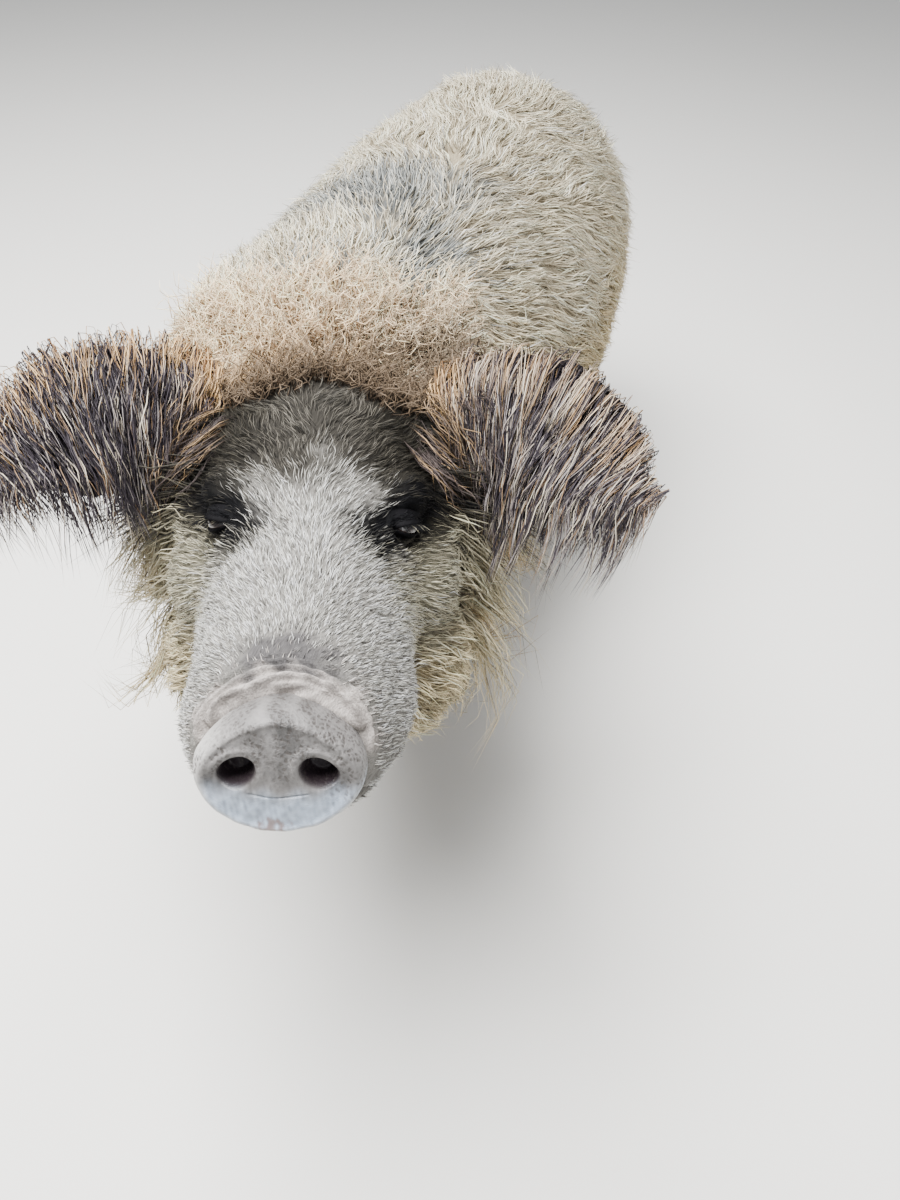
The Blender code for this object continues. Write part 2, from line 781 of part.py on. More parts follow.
def snout_disc(head):
    """The flat disc of the snout with its rim."""
    frame = snout_frame()
    shape = bmesh.new()
    rings = [
        frame @ upright_ring(Vector((0, y, 0)), DISC_HALF_WIDTH * size, DISC_HALF_HEIGHT * size)
        for y, size in DISC_PROFILE
    ]
    loft(shape, rings, DISC_SIDES)
    disc = as_object("snout_disc", shape, "snout")
    keep_clear(disc, head)
    largest_body(disc)
    return disc


def cut_nostrils(*objects):
    """Bores both nostrils through the disc and into the muzzle."""
    frame = snout_frame()
    for side in (1, -1):
        shape = bmesh.new()
        lean = Matrix.Rotation(NOSTRIL_LEAN * side, 4, "Y")
        place = frame @ Matrix.Translation(mirrored(NOSTRIL_AT, side) + NOSTRIL_AHEAD) @ lean
        bmesh.ops.create_icosphere(
            shape, subdivisions=2, radius=1.0, matrix=place @ Matrix.Diagonal((*NOSTRIL_HALF, 1.0))
        )
        cutter = as_object("nostril", shape)
        for obj in objects:
            combine(obj, cutter, "DIFFERENCE")
        remove(cutter)


def cut_mouth(head):
    """The line of the mouth, as a thin cut that rises towards its corners."""
    shape = bmesh.new()
    rings = []
    for i in range(MOUTH_STEPS + 1):
        t = i / MOUTH_STEPS
        y = MOUTH_FRONT + (MOUTH_BACK - MOUTH_FRONT) * t
        z = MOUTH_HEIGHT + MOUTH_RISE * math.sin(math.pi * (0.5 + t)) * 0.5
        rings.append(HEAD @ upright_ring(Vector((0, y, z)), MOUTH_HALF_WIDTH, MOUTH_THICK / 2))
    loft(shape, rings, MOUTH_SIDES)
    cutter = as_object("mouth", shape)
    combine(head, cutter, "DIFFERENCE")
    remove(cutter)


def eye_frame(side):
    """The frame of one eye, whose -Y is the way it looks."""
    out = Matrix.Rotation(EYE_OUT * side, 4, "Z")
    return HEAD @ Matrix.Translation(mirrored(EYE_AT, side)) @ out


def make_eye(head, side_name, side):
    """An eyeball under its lids, with the lids joined to the head."""
    frame = eye_frame(side)
    lids = bmesh.new()
    ellipsoid(lids, frame.translation, Vector((1, 1, 1)) * (EYE_RADIUS + LID_THICK), fineness=2)
    lids = as_object("lids", lids)
    combine(head, lids, "UNION")
    socket = bmesh.new()
    ellipsoid(socket, frame.translation, Vector((1, 1, 1)) * (EYE_RADIUS + GAP), fineness=2)
    socket = as_object("socket", socket)
    combine(head, socket, "DIFFERENCE")
    slit = bmesh.new()
    lean = Matrix.Rotation(SLIT_LEAN * side, 4, "Y")
    place = frame @ Matrix.Translation((0, -EYE_RADIUS - SLIT_AHEAD, 0)) @ lean
    bmesh.ops.create_icosphere(slit, subdivisions=2, radius=1.0, matrix=place @ Matrix.Diagonal((*SLIT_HALF, 1.0)))
    slit = as_object("slit", slit)
    combine(head, slit, "DIFFERENCE")
    remove(lids, socket, slit)
    ball = bmesh.new()
    ellipsoid(ball, frame.translation, Vector((1, 1, 1)) * EYE_RADIUS * BALL_SHARE, fineness=2)
    return as_object(f"eye_{side_name}", ball, "eye")


def ear_point(side, along, across, lift=0.0):
    """A point of an ear's leaf in the head's frame, with the ways it faces and hangs.

    Along is 0 to 1 from root to tip, across -1 to 1 from its upper to its hanging edge, and lift is outwards.
    """
    centre = Vector(spline(EAR_LINE, along))
    beyond, before = min(along + EAR_AHEAD, 1.0), max(along - EAR_AHEAD, 0.0)
    ahead = Vector(spline(EAR_LINE, beyond)) - Vector(spline(EAR_LINE, before))
    ahead.normalize()
    hang = (EAR_HANG - ahead * EAR_HANG.dot(ahead)).normalized()
    out = ahead.cross(hang).normalized()
    if out.z < 0:
        out = -out
    half = spline([(w,) for w in EAR_HALF_WIDTH], along)[0]
    cup = spline([(c,) for c in EAR_CUP], along)[0]
    point = centre + hang * half * across + out * (cup * (1 - across * across) - cup + lift)
    return mirrored(point, side), mirrored(out, side), mirrored(hang, side)


def make_ear(side_name, side):
    """One ear: a cupped leaf that reaches sideways from the poll and hangs forwards."""
    shape = bmesh.new()
    grid = {}
    for i in range(EAR_LENGTHS + 1):
        for j in range(EAR_WIDTHS + 1):
            along, across = i / EAR_LENGTHS, 2 * j / EAR_WIDTHS - 1
            for layer, lift in ((0, 0.0), (1, -EAR_THICK)):
                point = ear_point(side, along, across, lift)[0]
                grid[i, j, layer] = shape.verts.new(HEAD @ point)
    for i in range(EAR_LENGTHS):
        for j in range(EAR_WIDTHS):
            for layer in (0, 1):
                a, b = grid[i, j, layer], grid[i + 1, j, layer]
                c, d = grid[i + 1, j + 1, layer], grid[i, j + 1, layer]
                shape.faces.new((a, b, c))
                shape.faces.new((a, c, d))
    rim = [(i, 0) for i in range(EAR_LENGTHS)] + [(EAR_LENGTHS, j) for j in range(EAR_WIDTHS)]
    rim += [(i, EAR_WIDTHS) for i in range(EAR_LENGTHS, 0, -1)] + [(0, j) for j in range(EAR_WIDTHS, 0, -1)]
    for k, here in enumerate(rim):
        there = rim[(k + 1) % len(rim)]
        shape.faces.new((grid[(*here, 0)], grid[(*there, 0)], grid[(*there, 1)], grid[(*here, 1)]))
    ear = as_object(f"ear_{side_name}", shape, "ear")
    grow_fringe(ear, side)
    return ear


def fringe_line(side, along, sizes, rng):
    """The middle line of a lock that lies over the ear and hangs past its lower edge."""
    length, _, _, rise = sizes
    start = rng.uniform(*FRINGE_START)
    half = spline([(w,) for w in EAR_HALF_WIDTH], along)[0]
    drift = rng.uniform(*FRINGE_DRIFT)
    steps = len(LOCK_TAPER) - 1
    turned = HEAD.to_3x3()
    line = []
    for i in range(steps + 1):
        t = i / steps
        lift = -EAR_THICK / 2 + (rise + EAR_THICK / 2) * math.sin(t * math.pi / 2)
        across = start + length * t / half
        point, out, hang = ear_point(side, min(along + drift * t, 1.0), min(across, 1.0), lift)
        down = (turned @ hang + FRINGE_DROP).normalized()
        place = HEAD @ point + down * half * max(across - 1.0, 0.0)
        line.append((place, down, down.cross(turned @ out).normalized(), turned @ out))
    return line


def grow_fringe(ear, side):
    """The long hair of one ear, fused to its leaf."""
    rng = random.Random(SEED + side)
    coat = bpy.data.collections.new("fringe")
    for k in range(FRINGE_LOCKS):
        along = FRINGE_FROM + FRINGE_SPAN * (k + 0.5) / FRINGE_LOCKS
        sizes = varied(EAR_LOCK, rng)
        shape = bmesh.new()
        add_lock(shape, fringe_line(side, along, sizes, rng), sizes)
        coat.objects.link(unlinked("lock", shape))
    fuse(ear, coat)


def claw(name, frame, side):
    """One half of a hoof: a wedge with a flat sole on the floor."""
    shape = bmesh.new()
    rings = []
    for z, size, front, back in CLAW_LEVELS:
        middle = Vector((side * CLAW_APART, (front + back) / 2, z))
        half = Matrix.Diagonal((CLAW_HALF_WIDTH * size, (back - front) / 2, 1, 1))
        rings.append(frame @ Matrix.Translation(middle) @ half)
    loft(shape, rings, HOOF_SIDES)
    return as_object(name, shape, "horn")


def make_hooves(leg, kind, side_name, side, stations):
    """The two claws and two dewclaws of one leg, which is cut clear of them."""
    x, y = stations[-1][0] * side, stations[-1][1]
    frame = Matrix.Translation((x, y, 0.0))
    made = []
    for place, way in (("inner", -side), ("outer", side)):
        foot = claw(f"hoof_{kind}_{side_name}_{place}", frame, way)
        keep_clear(leg, foot)
        made.append(foot)
    for place, way in (("inner", -side), ("outer", side)):
        shape = bmesh.new()
        centre = Vector((x + way * DEWCLAW_APART, y + DEWCLAW_BACK, DEWCLAW_HEIGHT))
        ellipsoid(shape, centre, DEWCLAW_HALF, Matrix.Rotation(DEWCLAW_LEAN, 4, "X"), fineness=1)
        spur = as_object(f"dewclaw_{kind}_{side_name}_{place}", shape, "horn")
        keep_clear(spur, leg)
        largest_body(spur)
        made.append(spur)
    return made


def tassel_line(t, turn, sizes):
    """The middle line of a lock of the tail's tassel, which starts inside the tail at t and hangs outwards."""
    length, _, _, rise = sizes
    x, y, z, _ = spline(TAIL, t)
    out = Vector((math.sin(turn), -math.cos(turn), 0.0))
    down = Vector((0.0, 0.0, -1.0))
    steps = len(LOCK_TAPER) - 1
    line = []
    for i in range(steps + 1):
        share = i / steps
        place = Vector((x, y, z)) + down * length * share + out * rise * math.sin(share * math.pi / 2)
        line.append((place, down, out.cross(down), out))
    return line


def make_tail(body):
    """The tail, from the rump down, with the tassel at its end."""
    shape = bmesh.new()
    rings = []
    for i in range(TAIL_STEPS + 1):
        t = i / TAIL_STEPS
        x, y, z, radius = spline(TAIL, t)
        beyond, before = min(t + TAIL_AHEAD, 1), max(t - TAIL_AHEAD, 0)
        ahead = Vector(spline(TAIL, beyond)[:3]) - Vector(spline(TAIL, before)[:3])
        turn = ahead.to_track_quat("Z", "X").to_matrix().to_4x4()
        rings.append(Matrix.Translation((x, y, z)) @ turn @ Matrix.Diagonal((radius, radius, 1, 1)))
    loft(shape, rings, TAIL_SIDES)
    tail = as_object("tail", shape, "coat")
    rng = random.Random(SEED)
    tassel = bpy.data.collections.new("tassel")
    for k in range(TASSEL_LOCKS):
        sizes = varied(TAIL_LOCK, rng)
        lock = bmesh.new()
        start = TASSEL_FROM + TASSEL_SPAN * k / TASSEL_LOCKS
        add_lock(lock, tassel_line(start, k * TASSEL_TURN, sizes), sizes)
        tassel.objects.link(unlinked("lock", lock))
    fuse(tail, tassel)
    keep_clear(tail, body)
    largest_body(tail)
    return tail


def set_material(obj, finish):
    """One material on the whole object."""
    obj.data.materials.clear()
    obj.data.materials.append(material(finish))


def stand_on_origin():
    """Moves everything so that the middle of its box is over the origin, on the floor."""
    points = [obj.matrix_world @ vert.co for obj in bpy.data.objects for vert in obj.data.vertices]
    low = Vector([min(p[i] for p in points) for i in range(3)])
    high = Vector([max(p[i] for p in points) for i in range(3)])
    shift = Matrix.Translation((-(low.x + high.x) / 2, -(low.y + high.y) / 2, -low.z))
    for obj in bpy.data.objects:
        obj.data.transform(shift)


def main():
    """Builds the whole animal, part by part."""
    for obj in list(bpy.data.objects):
        bpy.data.objects.remove(obj)
    whole = flesh()
    ears = [make_ear("left", 1), make_ear("right", -1)]
    grow_coat(whole, [surface_of(ear) for ear in ears])
    legs = part_legs(whole)
    torso, front = part_by_plane(whole, *SHOULDER_CUT, "torso", "front")
    neck, head = part_by_plane(front, HEAD @ NAPE_CUT[0], HEAD.to_3x3() @ NAPE_CUT[1], "neck", "head")
    for name, leg in legs.items():
        kind, side_name = name[:4], name[8:]
        set_material(leg, "coat")
        stations = FORELEG if kind == "fore" else HINDLEG
        make_hooves(leg, kind, side_name, 1 if side_name == "left" else -1, stations)
        largest_body(leg)
    disc = snout_disc(head)
    cut_mouth(head)
    cut_nostrils(head, disc)
    make_eye(head, "left", 1)
    make_eye(head, "right", -1)
    for ear in ears:
        keep_clear(ear, head)
        largest_body(ear)
    make_tail(torso)
    for obj, finish in ((torso, "coat"), (neck, "coat"), (head, "face")):
        set_material(obj, finish)
        largest_body(obj)
    stand_on_origin()


main()
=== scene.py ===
"""Skin, coat, snout, eyes, hooves and tail of a life-size mangalica sow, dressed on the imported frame.

Metres, +Z up. The sow faces -Y and her left side is +X. Her head has a frame of its own at the poll. Its +X
is her left, its -Y runs along the muzzle, and all places and sizes of the head are given in it.
"""

import logging
import math
from dataclasses import dataclass
from enum import Enum
from typing import Callable, Sequence

import bmesh
import bpy
import numpy as np
from bmesh.types import BMEdge, BMesh, BMVert
from bpy.types import Material, Mesh, Node, NodeSocket, NodeTree, Object
from mathutils import Matrix, Vector
from mathutils.bvhtree import BVHTree
from mathutils.kdtree import KDTree


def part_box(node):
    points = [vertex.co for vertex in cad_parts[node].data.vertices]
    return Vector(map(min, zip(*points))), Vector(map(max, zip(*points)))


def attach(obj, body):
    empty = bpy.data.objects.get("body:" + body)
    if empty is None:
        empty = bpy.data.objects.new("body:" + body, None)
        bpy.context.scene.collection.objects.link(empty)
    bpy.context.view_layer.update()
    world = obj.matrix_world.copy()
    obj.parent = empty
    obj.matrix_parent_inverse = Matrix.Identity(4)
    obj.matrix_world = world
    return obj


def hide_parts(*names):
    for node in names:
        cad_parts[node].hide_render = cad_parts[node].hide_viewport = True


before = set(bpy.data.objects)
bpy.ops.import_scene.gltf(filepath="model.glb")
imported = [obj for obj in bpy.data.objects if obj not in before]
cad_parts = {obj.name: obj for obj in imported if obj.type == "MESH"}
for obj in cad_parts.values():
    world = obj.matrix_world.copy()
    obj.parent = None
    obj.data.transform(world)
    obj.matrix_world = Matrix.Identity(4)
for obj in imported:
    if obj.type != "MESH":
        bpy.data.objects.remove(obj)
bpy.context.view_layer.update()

log = logging.getLogger("mangalica")

Rows = np.ndarray
Point = Sequence[float]
Random = np.random.Generator
Field = Callable[[Rows], Rows]
Lie = Callable[[Rows, Rows], Rows]
MARKING = "marking"
BAKE_MAP = "OFBake"
BAKE_PATCH = 0.003
ROOT_DEPTH = 0.0012
PHOTO_HEIGHT = 1200
SENSOR = 36.0


class Side(Enum):
    """Her two sides, as the sign of X."""

    LEFT = 1
    RIGHT = -1

    @property
    def word(self) -> str:
        """The side as it ends a piece's name."""
        return self.name.lower()


class Slot(Enum):
    """The record's material slots."""

    COAT = "coat"
    FACE = "face"
    EAR = "ear"
    SNOUT = "snout"
    EYE = "eye"
    HORN = "horn"


def linear(code: str) -> Rows:
    """Turns an sRGB hex colour to linear values.

    Args:
        code: Six hex digits after a hash sign.

    Returns:
        The red, green and blue shares.
    """
    shares = np.array([int(code[i : i + 2], 16) / 255 for i in (1, 3, 5)])
    return np.where(shares <= 0.04045, shares / 12.92, ((shares + 0.055) / 1.055) ** 2.4)


def opaque(code: str) -> tuple[float, ...]:
    """A hex colour as a socket's four values."""
    return (*linear(code), 1.0)


def ease(low: float, high: float, value: Rows) -> Rows:
    """A smooth step from 0 at low to 1 at high, which may lie either way round."""
    t = np.clip((value - low) / (high - low), 0.0, 1.0)
    return t * t * (3 - 2 * t)


def unit(vectors: Rows) -> Rows:
    """The vectors at length 1."""
    return vectors / np.maximum(np.linalg.norm(vectors, axis=-1, keepdims=True), 1e-9)


def flat_on(vectors: Rows, out: Rows) -> Rows:
    """The vectors laid flat on a surface that faces out."""
    return unit(vectors - out * (vectors * out).sum(-1, keepdims=True))


def mix(a: Rows, b: Rows, share: Rows | float) -> Rows:
    """Blends colours a towards b by one share, or by a share for each point."""
    return a + (b - a) * np.asarray(share)[..., None]


def columns(*values: Rows | float) -> Rows:
    """Rows of values, from an array or one number for each column."""
    return np.stack(np.broadcast_arrays(*values), 1)


def round_share(across: Rows, up: Rows) -> Rows:
    """How far round an axis places lie, from 0 to 1."""
    return np.arctan2(across, up) / (2 * math.pi) + 0.5


def even(value: float) -> Field:
    """The same value everywhere."""
    return lambda points: np.full(len(points), value)


def on_left(head: Rows) -> Rows:
    """Places of the head's frame, those on the right mirrored to the left."""
    return np.abs(head * [1, 0, 0]) + head * [0, 1, 1]


def past_ears(head: Rows) -> Rows:
    """How far places of the head's frame lie behind the ears, where the neck begins."""
    return head[:, 1] + 0.2 * (head[:, 2] - 0.03)


def from_line(points: Rows, start: Rows, end: Rows) -> tuple[Rows, Rows]:
    """How far along a straight line the points lie, from 0 to 1, and how far from it."""
    way = end - start
    t = np.clip(((points - start) @ way) / (way @ way), 0, 1)
    return t, np.linalg.norm(points - start - t[:, None] * way, axis=1)


def mirrored(point: Point, side: Side) -> Vector:
    """The point on the given side."""
    return Vector((point[0] * side.value, point[1], point[2]))


def curve(points: Sequence[Point], t: Rows) -> Rows:
    """Reads a smooth curve through points.

    Args:
        points: The points, of any number of values each.
        t: Places on the curve from 0 to 1.

    Returns:
        One row of values for each place.
    """
    rows = np.array(points, float)
    spans = len(rows) - 1
    at = np.clip(t, 0, 1) * spans
    i = np.minimum(at.astype(int), spans - 1)
    u = (at - i)[:, None]
    p, q, r, s = rows[np.maximum(i - 1, 0)], rows[i], rows[i + 1], rows[np.minimum(i + 2, spans)]
    return 0.5 * (2 * q + (r - p) * u + (2 * p - 5 * q + 4 * r - s) * u**2 + (3 * q - p - 3 * r + s) * u**3)


def along_curve(points: Sequence[Point], t: Rows, reach: float) -> Rows:
    """The way that a smooth curve through points takes at t, from reach before it to reach after it."""
    return curve(points, np.minimum(t + reach, 1)) - curve(points, np.maximum(t - reach, 0))


@dataclass(frozen=True)
class Drift:
    """A smooth random field, made of a few sine waves, for the wander of coat and colour.

    Attributes:
        size: About how far apart its changes lie, in metres.
        seed: Picks the waves.
    """

    size: float
    seed: int
    waves: int = 7

    def at(self, points: Rows, values: int = 1) -> Rows:
        """The field at points, of about -1 to 1: one value for each, or rows of several."""
        rng = np.random.default_rng(self.seed)
        found = np.zeros((len(points), values))
        for value in range(values):
            for _ in range(self.waves):
                way = unit(rng.normal(size=3)) * 2 * math.pi / self.size * rng.uniform(0.5, 1.3)
                found[:, value] += np.sin(points @ way + rng.uniform(0, 2 * math.pi))
        found = found / math.sqrt(self.waves / 2) * 0.7
        return found[:, 0] if values == 1 else found


@dataclass(frozen=True)
class HeadPose:
    """Where the head stands: the poll's place in the body's frame, and the head's turn, rise and roll."""

    poll: Vector = Vector((0.08, -0.585, 0.565))
    turn: float = math.radians(20)
    raised: float = math.radians(24)
    roll: float = math.radians(2)
    eye: Vector = Vector((0.07, -0.118, 0.0165))

    def in_body(self) -> Matrix:
        """The head's frame in the body's frame."""
        place = Matrix.Translation(self.poll) @ Matrix.Rotation(self.turn, 4, "Z")
        return place @ Matrix.Rotation(-self.raised, 4, "X") @ Matrix.Rotation(self.roll, 4, "Y")

    def body(self) -> Matrix:
        """The body's frame in the row frame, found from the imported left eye."""
        low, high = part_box("eye_left")
        return Matrix.Translation((low + high) / 2 - self.in_body() @ self.eye)


POSE = HeadPose()
BODY = POSE.body()
HEAD = BODY @ POSE.in_body()
HEAD_TURN = np.array(HEAD.to_3x3())
HEAD_PLACE = np.array(HEAD.translation)
BODY_PLACE = np.array(BODY.translation)


def to_head(points: Rows) -> Rows:
    """Row frame to the head's frame."""
    return (points - HEAD_PLACE) @ HEAD_TURN


def from_head(points: Rows) -> Rows:
    """The head's frame to the row frame."""
    return points @ HEAD_TURN.T + HEAD_PLACE


def turn_from_head(ways: Rows) -> Rows:
    """Directions of the head's frame in the row frame."""
    return ways @ HEAD_TURN.T


def from_eye(places: Rows) -> Rows:
    """How far places of the head's frame are from the middle of the left eye."""
    return np.linalg.norm(places - np.array(POSE.eye), axis=1)


def feed(node: Node, given: dict) -> None:
    """Gives the node's inputs values, or links them to other nodes' outputs."""
    for name, value in given.items():
        if isinstance(value, NodeSocket):
            node.id_data.links.new(value, node.inputs[name])
        else:
            node.inputs[name].default_value = value


def add_node(tree: NodeTree, kind: str, given: dict, **settings: object) -> Node:
    """Adds a node.

    Args:
        tree: The node tree it goes into.
        kind: The node's type, without the word ShaderNode.
        given: What each input gets, a value or another node's output.
        settings: The node's own settings.

    Returns:
        The node.
    """
    made = tree.nodes.new(f"ShaderNode{kind}")
    for name, value in settings.items():
        setattr(made, name, value)
    feed(made, given)
    return made


def start_material(name: str, given: dict) -> tuple[Material, NodeTree, Node]:
    """A material with its shader and output.

    Args:
        name: What it is made of.
        given: What the shader's own inputs get.

    Returns:
        The material, its tree and its shader.
    """
    made = bpy.data.materials.new(name)
    made.use_nodes = True
    tree = made.node_tree
    tree.nodes.clear()
    shader = add_node(tree, "BsdfPrincipled", given)
    add_node(tree, "OutputMaterial", {"Surface": shader.outputs["BSDF"]})
    return made, tree, shader


def add_ramp(tree: NodeTree, value: NodeSocket, *stops: tuple[float, str]) -> NodeSocket:
    """Adds a colour ramp with two stops, each a place and a hex colour, and gives its colour."""
    ramp = add_node(tree, "ValToRGB", {"Fac": value})
    for element, (place, code) in zip(ramp.color_ramp.elements, stops):
        element.position = place
        element.color = opaque(code)
    return ramp.outputs["Color"]


@dataclass(frozen=True)
class SkinFinish:
    """Bristly pig skin: thick, dry, finely creased, with fine under-hair that gives it a streaked look."""

    roughness: float = 0.66
    gloss: float = 0.04
    crease_mm: float = 1.6
    hair_mm: float = 1.1
    hair_long_mm: float = 11.0
    streak_low: float = 0.62
    streak_high: float = 1.3

    def make(self) -> Material:
        """The material, which reads the skin's markings."""
        sockets = {"Roughness": self.roughness, "Specular IOR Level": self.gloss}
        made, tree, shader = start_material("bristly_skin", sockets)
        place = add_node(tree, "TexCoord", {}).outputs["Object"]
        across, along = 1000 / self.hair_mm / 4, 1000 / self.hair_long_mm / 4
        stretched = add_node(tree, "Mapping", {"Vector": place, "Scale": (across, along, across)})
        given = {"Vector": stretched.outputs[0], "Scale": 4.0, "Detail": 3.0, "Distortion": 0.6}
        streaks = add_node(tree, "TexNoise", given).outputs["Fac"]
        given = {"Value": streaks, "From Min": 0.3, "From Max": 0.72}
        given |= {"To Min": self.streak_low, "To Max": self.streak_high}
        share = add_node(tree, "MapRange", given)
        markings = add_node(tree, "Attribute", {}, attribute_name=MARKING)
        given = {0: markings.outputs["Color"], 1: share.outputs[0]}
        tone = add_node(tree, "VectorMath", given, operation="MULTIPLY")
        given = {"Vector": place, "Scale": 1000 / self.crease_mm}
        creases = add_node(tree, "TexVoronoi", given, feature="DISTANCE_TO_EDGE")
        rough = add_node(tree, "Bump", {"Height": creases.outputs[0], "Strength": 0.18, "Distance": 0.0006})
        given = {"Height": streaks, "Strength": 0.6, "Distance": 0.0012, "Normal": rough.outputs[0]}
        bristle = add_node(tree, "Bump", given)
        feed(shader, {"Base Color": tone.outputs[0], "Normal": bristle.outputs[0]})
        return made


@dataclass(frozen=True)
class HairFinish:
    """Hog hair: coarse, dry bristle with a faint gloss, its colour running from root to tip."""

    name: str
    roughness: float = 0.58
    gloss: float = 0.1

    def make(self) -> Material:
        """The material, which reads the tufts' own colours."""
        sockets = {"Roughness": self.roughness, "Specular IOR Level": self.gloss}
        made, tree, shader = start_material(self.name, sockets)
        markings = add_node(tree, "Attribute", {}, attribute_name=MARKING)
        feed(shader, {"Base Color": markings.outputs["Color"]})
        return made


@dataclass(frozen=True)
class SnoutFinish:
    """The bare leather of the snout: pitted and freckled above, worn smooth and wet below."""

    pit_mm: float = 2.5
    grain_mm: float = 0.9
    stretch: float = 0.75
    pit: str = "#3B3633"

    def make(self) -> Material:
        """The material, which reads the disc's markings, and how wet and how freckled each place is."""
        made, tree, shader = start_material("snout_leather", {})
        place = add_node(tree, "TexCoord", {}).outputs["Object"]
        markings = add_node(tree, "Attribute", {}, attribute_name=MARKING)
        freckled = add_node(tree, "Attribute", {}, attribute_name="freckled").outputs["Fac"]
        wet = add_node(tree, "Attribute", {}, attribute_name="wet").outputs["Fac"]
        warped = add_node(tree, "TexNoise", {"Vector": place, "Scale": 180.0, "Detail": 2.0})
        given = {0: warped.outputs["Color"], 1: (0.004, 0.004, 0.004), 2: place}
        pushed = add_node(tree, "VectorMath", given, operation="MULTIPLY_ADD")
        pushed = add_node(tree, "Mapping", {"Vector": pushed.outputs[0], "Scale": (1.0, 1.0, self.stretch)})
        given = {"Vector": pushed.outputs[0], "Scale": 1000 / self.pit_mm, "Randomness": 1.0}
        pits = add_node(tree, "TexVoronoi", given).outputs["Distance"]
        given = {"Value": pits, "From Min": 0.22, "From Max": 0.56, "To Min": 0.92, "To Max": 0.0}
        dark = add_node(tree, "MapRange", given)
        spots = add_node(tree, "Math", {0: dark.outputs[0], 1: freckled}, operation="MULTIPLY").outputs[0]
        # Mix has sockets of the same name for numbers and colours, so the colours' ones go by their place.
        given = {"Factor": spots, 6: markings.outputs["Color"], 7: opaque(self.pit)}
        tinted = add_node(tree, "Mix", given, data_type="RGBA")
        grain = add_node(tree, "TexNoise", {"Vector": place, "Scale": 1000 / self.grain_mm, "Detail": 3.0})
        fine = add_node(tree, "Bump", {"Height": grain.outputs["Fac"], "Strength": 0.55, "Distance": 0.0007})
        given = {"Height": spots, "Strength": 0.5, "Distance": 0.0008, "Normal": fine.outputs[0]}
        deep = add_node(tree, "Bump", given, invert=True)
        given = {"Value": wet, "From Min": 0.0, "From Max": 1.0, "To Min": 0.55, "To Max": 0.22}
        shine = add_node(tree, "MapRange", given)
        given = {"Base Color": tinted.outputs[2], "Normal": deep.outputs[0], "Roughness": shine.outputs[0]}
        feed(shader, given)
        return made


@dataclass(frozen=True)
class EyeFinish:
    """A wet dark eye: near-black brown under a clear cornea."""

    colour: str = "#120C0A"
    ring: str = "#2A1A12"

    def make(self) -> Material:
        """The material, a little browner in patches, under a clear coat."""
        sockets = {"Roughness": 0.18, "Coat Weight": 1.0, "Coat Roughness": 0.03}
        made, tree, shader = start_material("wet_eye", sockets)
        place = add_node(tree, "TexCoord", {}).outputs["Object"]
        noise = add_node(tree, "TexNoise", {"Vector": place, "Scale": 220.0, "Detail": 2.0})
        colour = add_ramp(tree, noise.outputs["Fac"], (0.0, self.colour), (1.0, self.ring))
        feed(shader, {"Base Color": colour})
        return made


@dataclass(frozen=True)
class HornFinish:
    """Grown horn of the hooves: black-brown, ringed by growth, scuffed and paler towards the sole."""

    dark: str = "#1B1816"
    worn: str = "#4A4038"
    ring_mm: float = 3.0
    scuff_mm: float = 7.0

    def make(self) -> Material:
        """The material, with level growth rings and scuffs."""
        made, tree, shader = start_material("hoof_horn", {"Roughness": 0.48})
        place = add_node(tree, "TexCoord", {}).outputs["Object"]
        given = {"Vector": place, "Scale": 1000 / self.ring_mm / 20}
        given |= {"Distortion": 1.4, "Detail": 2.0, "Detail Scale": 3.0}
        rings = add_node(tree, "TexWave", given, bands_direction="Z")
        scuffs = add_node(tree, "TexNoise", {"Vector": place, "Scale": 1000 / self.scuff_mm, "Detail": 6.0})
        colour = add_ramp(tree, scuffs.outputs["Fac"], (0.42, self.dark), (0.78, self.worn))
        bump = add_node(tree, "Bump", {"Height": rings.outputs["Fac"], "Strength": 0.4, "Distance": 0.0006})
        feed(shader, {"Base Color": colour, "Normal": bump.outputs[0]})
        return made


@dataclass(frozen=True)
class FloorFinish:
    """A plain pale studio floor, matt."""

    colour: str = "#D9D7D2"

    def make(self) -> Material:
        """The material."""
        return start_material("pale_floor", {"Base Color": opaque(self.colour), "Roughness": 0.9})[0]


def as_piece(name: str, source: BMesh | Mesh) -> Object:
    """An object in the scene, smooth shaded.

    Args:
        name: The piece's name.
        source: A bmesh, which is freed, or a mesh.

    Returns:
        The object.
    """
    mesh = source
    if isinstance(source, BMesh):
        mesh = bpy.data.meshes.new(name)
        bmesh.ops.recalc_face_normals(source, faces=source.faces[:])
        source.to_mesh(mesh)
        source.free()
    mesh.polygons.foreach_set("use_smooth", np.ones(len(mesh.polygons), bool))
    made = bpy.data.objects.new(name, mesh)
    bpy.context.scene.collection.objects.link(made)
    return made


def dress(piece: Object, finish: Material, slot: Slot, *nodes: str) -> Object:
    """Gives a piece its finish and its place in the model.

    Args:
        piece: The piece.
        finish: Its material.
        slot: The record's slot that it belongs to; not used.
        nodes: The CAD nodes that it stands for.

    Returns:
        The piece.
    """
    piece.data.materials.clear()
    piece.data.materials.append(finish)
    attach(piece, "root")
    if nodes:
        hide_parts(*nodes)
    piece.data.calc_loop_triangles()
    log.info("%s: %d triangles", piece.name, len(piece.data.loop_triangles))
    return piece


def apply_modifiers(piece: Object) -> None:
    """Puts the evaluated mesh in place of the object's mesh and drops its modifiers."""
    graph = bpy.context.evaluated_depsgraph_get()
    graph.update()
    mesh = bpy.data.meshes.new_from_object(piece.evaluated_get(graph))
    piece.modifiers.clear()
    piece.data = mesh


def corner_array(mesh: Mesh, value: str = "co") -> Rows:
    """The places of the mesh's points as rows, or another value of theirs."""
    found = np.empty(len(mesh.vertices) * 3)
    mesh.vertices.foreach_get(value, found)
    return found.reshape(-1, 3)


